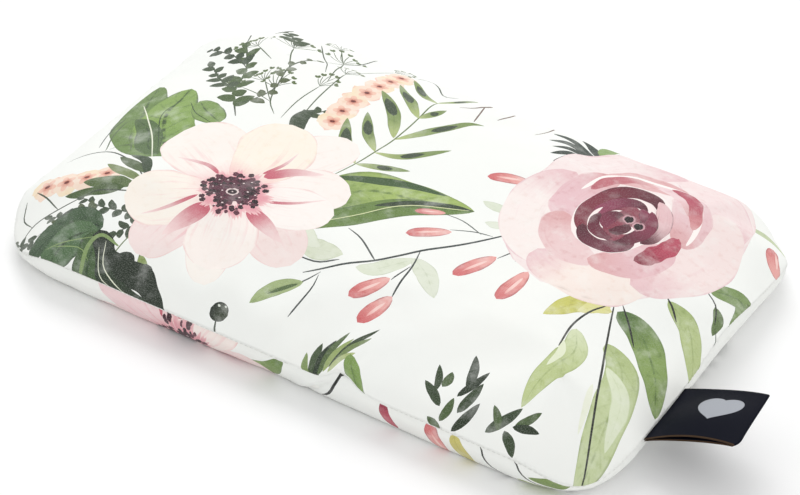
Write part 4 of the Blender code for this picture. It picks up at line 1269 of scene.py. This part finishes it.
def make_watercolour_group():
    """Thin paint: it pools at the rim, bleeds from the root, and shows veins and grain."""
    tree, given, result = new_group(
        "watercolour_print",
        (("Motif", "Vector", None), ("Cloth", "Vector", None), ("Tint", "Color", None),
         ("Root", "Color", None), ("Root Reach", "Float", 0.0), ("Rim", "Color", None),
         ("Rim Width", "Float", 0.0), ("Habit", "Vector", None), ("Printed", "Float", 0.0),
         ("Ground", "Color", None)),
        (("Color", "Color"),),
    )
    motif, cloth, tint, root, root_reach, rim, rim_width, habit, printed, ground = list(given.outputs)[:10]
    along, wide, _ = put_node(tree, "SeparateXYZ", Vector=motif).outputs
    vein_share, streak_share, wash_share = put_node(tree, "SeparateXYZ", Vector=habit).outputs
    aside = maths(tree, "ABSOLUTE", maths(tree, "WRAP", wide, 1.5, -1.5))
    cloud = noise(tree, cloth, 75.0, 5.0, Roughness=0.6)
    patch = noise(tree, cloth, 210.0, 3.0)
    grain = noise(tree, cloth, 1500.0, 2.0)
    stretched = put_node(tree, "CombineXYZ", X=times(tree, along, 1.3), Y=times(tree, wide, 7.0))
    streak = noise(tree, stretched.outputs[0], 1.0, 4.0, Roughness=0.65)

    # The root colour bleeds unevenly towards the tip, and runs on in streaks.
    uneven = maths(tree, "MULTIPLY_ADD", cloud, 0.5, maths(tree, "MULTIPLY_ADD", streak, 0.5, -0.5))
    bled = maths(tree, "MULTIPLY_ADD", uneven, 0.5, along)
    root_mask = flipped(tree, ease_node(tree, bled, 0.0, maths(tree, "MAXIMUM", root_reach, 0.001)))
    rooted = times(tree, root_mask, maths(tree, "GREATER_THAN", root_reach, 0.002))
    colour = blend_node(tree, rooted, tint, root)
    streaked = times(tree, ease_node(tree, streak, 0.5, 0.72), streak_share)
    faded = times(tree, streaked, flipped(tree, ease_node(tree, along, 0.35, 0.95)))
    colour = blend_node(tree, faded, colour, root)

    # Veins: one along the middle, and slanting ones that fade before the edge.
    slant = maths(tree, "MULTIPLY_ADD", aside, -1.15, times(tree, along, 8.0))
    tooth = maths(tree, "ABSOLUTE", maths(tree, "SUBTRACT", maths(tree, "FRACT", slant), 0.5))
    side_vein = flipped(tree, ease_node(tree, tooth, 0.02, 0.11))
    side_vein = times(tree, side_vein, flipped(tree, ease_node(tree, aside, 0.5, 0.95)))
    middle_vein = flipped(tree, ease_node(tree, aside, 0.03, 0.1))
    vein = maths(tree, "MAXIMUM", times(tree, side_vein, 0.4), middle_vein)
    vein = times(tree, vein, times(tree, vein_share, ease_node(tree, patch, 0.3, 0.6)))
    colour = blend_node(tree, vein, colour, rim)

    # A darker rim, broken by the cloud of the wash.
    edge = ease_node(tree, aside, flipped(tree, rim_width), 1.02)
    edge = times(tree, edge, ease_node(tree, cloud, 0.32, 0.62))
    edge = times(tree, edge, maths(tree, "GREATER_THAN", rim_width, 0.002))
    colour = blend_node(tree, edge, colour, rim)

    # The wash: thin where the cloth shows through, deeper where it pooled, and grained.
    thin = times(tree, ease_node(tree, cloud, 0.46, 0.74), times(tree, wash_share, 0.34))
    colour = blend_node(tree, thin, colour, ground)
    pooled = times(tree, ease_node(tree, patch, 0.5, 0.8), times(tree, wash_share, 0.5))
    colour = blend_node(tree, pooled, colour, colour, "MULTIPLY")
    colour = blend_node(tree, times(tree, ease_node(tree, grain, 0.42, 0.75), 0.12), colour, ground)
    fill_inputs(tree, result, {"Color": blend_node(tree, printed, ground, colour)})
    return tree


plain_weave = make_weave_group()
watercolour_print = make_watercolour_group()


def make_printed_cotton():
    made, tree, shader = start_material("printed_cotton")
    layer = {
        name: put_node(tree, "Attribute", {"attribute_name": name})
        for name in ("tint", "root", "rim", "habit")
    }
    cloth = put_node(tree, "UVMap", {"uv_map": "cloth"}).outputs[0]
    motif = put_node(tree, "UVMap", {"uv_map": "motif"}).outputs[0]
    ground = blend_node(tree, noise(tree, cloth, 14.0, 3.0), opaque("eff2ef"), opaque("f6f6f1"))
    printed = put_node(
        tree, "Group", {"node_tree": watercolour_print},
        Motif=motif, Cloth=cloth, Ground=ground, Tint=layer["tint"].outputs["Color"],
        Root=layer["root"].outputs["Color"], Root_Reach=layer["root"].outputs["Alpha"],
        Rim=layer["rim"].outputs["Color"], Rim_Width=layer["rim"].outputs["Alpha"],
        Habit=layer["habit"].outputs["Vector"], Printed=layer["habit"].outputs["Alpha"],
    )
    weave = put_node(tree, "Group", {"node_tree": plain_weave}, Place=cloth, Pitch=0.00055)
    height = weave.outputs["Height"]
    crease = noise(tree, cloth, 42.0, 3.0, Roughness=0.55)
    fill_inputs(tree, shader, {
        "Base Color": woven(tree, printed.outputs["Color"], weave),
        "Roughness": maths(tree, "MULTIPLY_ADD", height, 0.06, 0.78),
        "Specular IOR Level": 0.28,
        "Sheen Weight": 0.12,
        "Sheen Roughness": 0.5,
        "Normal": relief(tree, maths(tree, "MULTIPLY_ADD", crease, 5.0, height), 0.55, 0.00012),
    })
    return made


cover.data.materials.append(make_printed_cotton())
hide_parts("cover_top_panel", "cover_bottom_panel")
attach(cover, "pillow")

# ---- Inner cushion ---------------------------------------------------------------------------
# Polyester fibre in its own plain cotton case, sewn up and pushed in through the zip.  It
# fills the cover and stops short of the seams.

CASE_INSET = 0.0118
CASE_UNDER_COVER = 0.0024


def bake_form(form, name):
    """The form as its modifiers leave it, in a smooth object of that name."""
    plain = bpy.data.meshes.new_from_object(form.evaluated_get(bpy.context.evaluated_depsgraph_get()))
    bpy.data.objects.remove(form)
    plain.name = name
    plain.polygons.foreach_set("use_smooth", [True] * len(plain.polygons))
    return add_object(name, plain)


def make_cushion():
    """The stuffed shape, drawn in all round and rounded."""
    shrink_x = (HALF_LENGTH - CASE_INSET) / HALF_LENGTH
    shrink_y = (HALF_WIDTH - CASE_INSET) / HALF_WIDTH
    shrink_z = (PILLOW_TOP - 2 * CASE_UNDER_COVER) / PILLOW_TOP
    places = coarse_places + swell
    places = places * (shrink_x, shrink_y, shrink_z) + (0, 0, CASE_UNDER_COVER)
    places[:, 2] = np.maximum(places[:, 2], CASE_UNDER_COVER)
    mesh = bpy.data.meshes.new("inner_cushion")
    mesh.from_pydata(places, [], coarse_faces)
    form = add_object("inner_cushion_form", mesh)
    finer = form.modifiers.new("finer", "SUBSURF")
    finer.levels = finer.render_levels = 1
    return bake_form(form, "inner_cushion")


def make_cloth_material(name, colour, pitch, roughness, darker):
    """A plain woven cloth in one colour, with slubs and slightly uneven dye."""
    made, tree, shader = start_material(name)
    place = put_node(tree, "TexCoord").outputs["Object"]
    dyed = blend_node(tree, noise(tree, place, 160.0, 4.0), opaque(colour), opaque(darker))
    weave = put_node(tree, "Group", {"node_tree": plain_weave}, Place=place, Pitch=pitch)
    height = weave.outputs["Height"]
    fill_inputs(tree, shader, {
        "Base Color": woven(tree, dyed, weave),
        "Roughness": maths(tree, "MULTIPLY_ADD", height, 0.05, roughness),
        "Specular IOR Level": 0.25,
        "Normal": relief(tree, height),
    })
    return made


cushion = make_cushion()
cushion.data.materials.append(make_cloth_material("case_cotton", "efece2", 0.0007, 0.82, "e6e1d3"))
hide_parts("inner_case_top", "inner_case_bottom", "fibre_filling")
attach(cushion, "pillow")

# ---- Zip and sewing thread ---------------------------------------------------------------------
# A fine nylon coil zip on woven tapes is sewn behind the lips of the front seam, with a small
# metal slider.  Overlocking and lockstitch in polyester thread hold every raw edge.


THREAD_TWIST = 1400.0
COIL_TURNS = 900.0


def finish_nodes(names, material):
    for name in names:
        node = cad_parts[name]
        node.data.materials.clear()
        node.data.materials.append(material)


def make_thread_material(name, colour, twist):
    """Twisted strands, with painted shade: a little greyer in the grooves between them."""
    made, tree, shader = start_material(name)
    place = put_node(tree, "TexCoord").outputs["Object"]
    wave = put_node(tree, "TexWave", {"bands_direction": "DIAGONAL"}, Vector=place, Scale=twist,
                    Distortion=1.5)
    strands = wave.outputs["Fac"]
    # Painted shade: the grey between the twisted strands stands for the shadow in their grooves.
    fill_inputs(tree, shader, {
        "Base Color": blend_node(tree, strands, opaque(colour), (0.55, 0.55, 0.53, 1)),
        "Roughness": 0.6,
        "Normal": relief(tree, strands),
    })
    return made


def make_metal_material():
    made, tree, shader = start_material("zip_metal")
    rubbed = noise(tree, put_node(tree, "TexCoord").outputs["Object"], 900.0, 4.0)
    fill_inputs(tree, shader, {
        "Base Color": blend_node(tree, rubbed, (0.62, 0.62, 0.60, 1), (0.78, 0.77, 0.74, 1)),
        "Metallic": 1.0,
        "Roughness": maths(tree, "MULTIPLY_ADD", rubbed, 0.25, 0.22),
    })
    return made


finish_nodes(("zip_tape_upper", "zip_tape_lower"),
             make_cloth_material("tape_weave", "f3f3ef", 0.0008, 0.7, "e7e7e2"))
finish_nodes(("zip_coil_upper", "zip_coil_lower"), make_thread_material("coil_nylon", "f4f4f0", COIL_TURNS))
finish_nodes(("zip_slider", "zip_top_stop_upper", "zip_top_stop_lower", "zip_bottom_stop"),
             make_metal_material())
finish_nodes(("zip_stitching_upper", "zip_stitching_lower", "bar_tack_left", "bar_tack_right",
              "cover_overlock_thread", "inner_case_overlock_thread"),
             make_thread_material("sewing_thread", "f6f6f2", THREAD_TWIST))

# ---- Seam stitching ----------------------------------------------------------------------------
# The lockstitch that joins the two printed panels: white polyester thread, one stitch every
# three millimetres, lying deep in the seam.  It stops on each side of the caught-up fold.

STITCH_PITCH = 0.0030
STITCH_LENGTH = 0.0022
THREAD_THICK = 0.00032
STITCH_DEPTH = SEAM_SINK + 0.0001
FOLD_CLEAR = 0.030


def stitch_tree(material):
    """A bead of thread at every stitch along the path, turned to lie along it."""
    tree = bpy.data.node_groups.new("seam_lockstitch", "GeometryNodeTree")
    tree.interface.new_socket("Path", in_out="INPUT", socket_type="NodeSocketGeometry")
    for name in ("Stitch Pitch", "Stitch Length", "Thread Thickness"):
        tree.interface.new_socket(name, in_out="INPUT", socket_type="NodeSocketFloat")
    tree.interface.new_socket("Stitches", in_out="OUTPUT", socket_type="NodeSocketGeometry")
    given = tree.nodes.new("NodeGroupInput").outputs
    path = put_node(tree, "GeometryNodeMeshToCurve", Mesh=given["Path"])
    spaced = put_node(tree, "GeometryNodeResampleCurve", {"mode": "LENGTH"},
                      Curve=path.outputs["Curve"], Length=given["Stitch Pitch"])
    tangent = put_node(tree, "GeometryNodeInputTangent")
    turned = put_node(tree, "FunctionNodeAlignRotationToVector", {"axis": "Z"},
                      Vector=tangent.outputs["Tangent"])
    bead = put_node(tree, "GeometryNodeMeshUVSphere", Segments=8, Rings=6, Radius=0.5)
    drawn = put_node(tree, "CombineXYZ", X=given["Thread Thickness"], Y=given["Thread Thickness"],
                     Z=given["Stitch Length"])
    laid = put_node(tree, "GeometryNodeInstanceOnPoints", Points=spaced.outputs["Curve"],
                    Instance=bead.outputs["Mesh"], Rotation=turned.outputs["Rotation"],
                    Scale=drawn.outputs["Vector"])
    real = put_node(tree, "GeometryNodeRealizeInstances", Geometry=laid.outputs["Instances"])
    coloured = put_node(tree, "GeometryNodeSetMaterial", Geometry=real.outputs["Geometry"], Material=material)
    put_node(tree, "NodeGroupOutput", Stitches=coloured.outputs["Geometry"])
    return tree


def make_stitches():
    """Stitches along the drawn-in seam, left out where the fold hides them."""
    places, edges = [], []
    joined = False
    for index in range(RIM_POINTS + 1):
        x, y, out_x, out_y = outline_place(index / RIM_POINTS % 1)
        if y < FOLD_FRONT and abs(x - FOLD_MIDDLE) < FOLD_CLEAR:
            joined = False
            continue
        if joined:
            edges.append((len(places) - 1, len(places)))
        places.append((x - STITCH_DEPTH * out_x, y - STITCH_DEPTH * out_y, seam_height(x, y)))
        joined = True
    mesh = bpy.data.meshes.new("stitch_path")
    mesh.from_pydata(places, edges, [])
    path = add_object("stitch_path", mesh)
    stitched = path.modifiers.new("lockstitch", "NODES")
    stitched.node_group = stitch_tree(seam_thread)
    sizes = {"Stitch Pitch": STITCH_PITCH, "Stitch Length": STITCH_LENGTH, "Thread Thickness": THREAD_THICK}
    for item in stitched.node_group.interface.items_tree:
        if item.name in sizes:
            stitched[item.identifier] = sizes[item.name]
    return bake_form(path, "seam_lockstitch")


seam_thread = make_thread_material("seam_thread", "f4f3ee", THREAD_TWIST)
stitches = make_stitches()
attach(stitches, "pillow")

# ---- Side label ----------------------------------------------------------------------------------
# A navy satin-woven ribbon, folded in half and caught in the end seam by its two cut ends.
# It stands out and up from the seam, a little twisted, with a plain heart woven into it.

RIBBON_WIDTH = 0.0470
LABEL_MIDDLE = -0.0567
LABEL_REACH = 0.0485
LABEL_SKEW = 0.12
RIBBON_THICK = 0.00040
ROOT_DEPTH = 0.0008
LABEL_SLOPE = 31.0
LABEL_TWIST = 4.0
LABEL_CURL = math.radians(12)
LABEL_WAVE = 0.0022
LABEL_DROOP = 0.0040
LABEL_DRIFT = 0.0018
LABEL_BELLY = 0.0007
BELLY_CHANGE = 0.0005
CORNER_TUCK = 0.0030
LABEL_COLUMNS = 31
LAYER_STEPS = 30
BEND_STEPS = 8
BEND_LENGTH = 0.0008
BEND_BULGE = 0.0006
LAYER_GAP = 0.00045
SEAM_OVERLAP = 0.0005
HEART_OUT = 0.0310
HEART_ACROSS = 0.0235
HEART_SIZE = 0.0105
SELVEDGE_WIDTH = 0.0009


def ribbon_line(across):
    """The folded ribbon seen from its end: how far out and how high each of its points lies."""
    belly = LABEL_BELLY + BELLY_CHANGE * math.cos(3.0 * across)
    bend_start = LABEL_REACH - BEND_LENGTH

    def open_by(out):
        return belly * math.sin(math.pi * (max(out, 0) / LABEL_REACH)) ** 1.2

    points = []
    for step in range(LAYER_STEPS + 1):
        out = -ROOT_DEPTH + (bend_start + ROOT_DEPTH) * step / LAYER_STEPS
        points.append((out, LAYER_GAP + open_by(out) * 0.7))
    for step in range(1, BEND_STEPS):
        turn = math.pi * step / BEND_STEPS
        points.append((bend_start + BEND_BULGE * math.sin(turn), LAYER_GAP * math.cos(turn)))
    for step in range(LAYER_STEPS + 1):
        out = bend_start - (bend_start + ROOT_DEPTH) * step / LAYER_STEPS
        points.append((out, -LAYER_GAP - open_by(out)))
    return points


def make_label():
    """The folded ribbon laid out from the seam; its map keeps the ribbon's own width and length."""
    places, faces, lengths = [], [], []
    for column in range(LABEL_COLUMNS):
        across = column / (LABEL_COLUMNS - 1)
        y = LABEL_MIDDLE - RIBBON_WIDTH / 2 + RIBBON_WIDTH * across
        slope = math.radians(LABEL_SLOPE - LABEL_TWIST * across)
        run = 0.0
        before = None
        for out, high in ribbon_line(across):
            share = max(out, 0) / LABEL_REACH
            bow = slope + LABEL_CURL * (0.5 - share)
            wave = LABEL_WAVE * math.sin(math.pi * share) * math.sin(5.2 * across - 0.6)
            corner = CORNER_TUCK * (max(0.12 - across, 0) / 0.12) ** 2 * (max(share - 0.7, 0) / 0.3) ** 2
            out *= 1 + LABEL_SKEW * (1 - across)
            x = HALF_LENGTH - SEAM_OVERLAP + (out - corner) * math.cos(bow) - high * math.sin(bow)
            z = seam_height(HALF_LENGTH, y) + out * math.sin(bow) + high * math.cos(bow) + wave
            z -= LABEL_DROOP * (1 - across) ** 3 * share * share
            places.append((x, y + LABEL_DRIFT * share * math.sin(3 * share), z))
            run += 0 if before is None else math.hypot(out - before[0], high - before[1])
            before = (out, high)
            lengths.append((across * RIBBON_WIDTH, run))
    rows = len(places) // LABEL_COLUMNS
    for column in range(LABEL_COLUMNS - 1):
        for row in range(rows - 1):
            first = column * rows + row
            faces.append((first, first + rows, first + rows + 1, first + 1))
    mesh = bpy.data.meshes.new("folded_label")
    mesh.from_pydata(places, [], faces)
    layer = mesh.uv_layers.new(name="ribbon")
    for loop in mesh.loops:
        layer.data[loop.index].uv = lengths[loop.vertex_index]
    sewn = add_object("label_form", mesh)
    thick = sewn.modifiers.new("ribbon_thickness", "SOLIDIFY")
    thick.thickness = RIBBON_THICK
    thick.offset = 0
    return bake_form(sewn, "folded_label")


def make_ribbon_material():
    """Navy satin weave with a silver heart woven in and a brown thread along one selvedge."""
    made, tree, shader = start_material("navy_ribbon")
    place = put_node(tree, "UVMap", {"uv_map": "ribbon"}).outputs[0]
    across, out, _ = put_node(tree, "SeparateXYZ", Vector=place).outputs
    # The heart is the curve (xx + yy - 1) cubed = xx yyy, lying on its side along the ribbon.
    x = maths(tree, "DIVIDE", maths(tree, "SUBTRACT", out, HEART_OUT), HEART_SIZE)
    y = maths(tree, "DIVIDE", maths(tree, "SUBTRACT", across, HEART_ACROSS), HEART_SIZE)
    x_square, y_square = times(tree, x, x), times(tree, y, y)
    round_part = maths(tree, "SUBTRACT", maths(tree, "ADD", x_square, y_square), 1.0)
    cube = times(tree, round_part, times(tree, round_part, round_part))
    heart = maths(tree, "SUBTRACT", cube, times(tree, x_square, times(tree, y, y_square)))
    inside = maths(tree, "LESS_THAN", heart, 0.0)
    fine = noise(tree, place, 2400.0, 2.0)
    weave = put_node(tree, "Group", {"node_tree": plain_weave}, Place=place, Pitch=0.00045)
    navy = blend_node(tree, fine, opaque("0c0f1e"), opaque("070a15"))
    silver = blend_node(tree, fine, opaque("b9bcc2"), opaque("8f939c"))
    marked = blend_node(tree, inside, navy, silver)
    edged = blend_node(tree, maths(tree, "LESS_THAN", across, SELVEDGE_WIDTH), marked, opaque("4a3a2c"))
    fill_inputs(tree, shader, {
        "Base Color": woven(tree, edged, weave),
        "Roughness": maths(tree, "MULTIPLY_ADD", fine, 0.14, 0.5),
        "Specular IOR Level": 0.06,
        "Normal": relief(tree, maths(tree, "MULTIPLY_ADD", inside, 1.4, weave.outputs["Height"])),
    })
    return made


label = make_label()
label.data.materials.append(make_ribbon_material())
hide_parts("woven_label")
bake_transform(label)
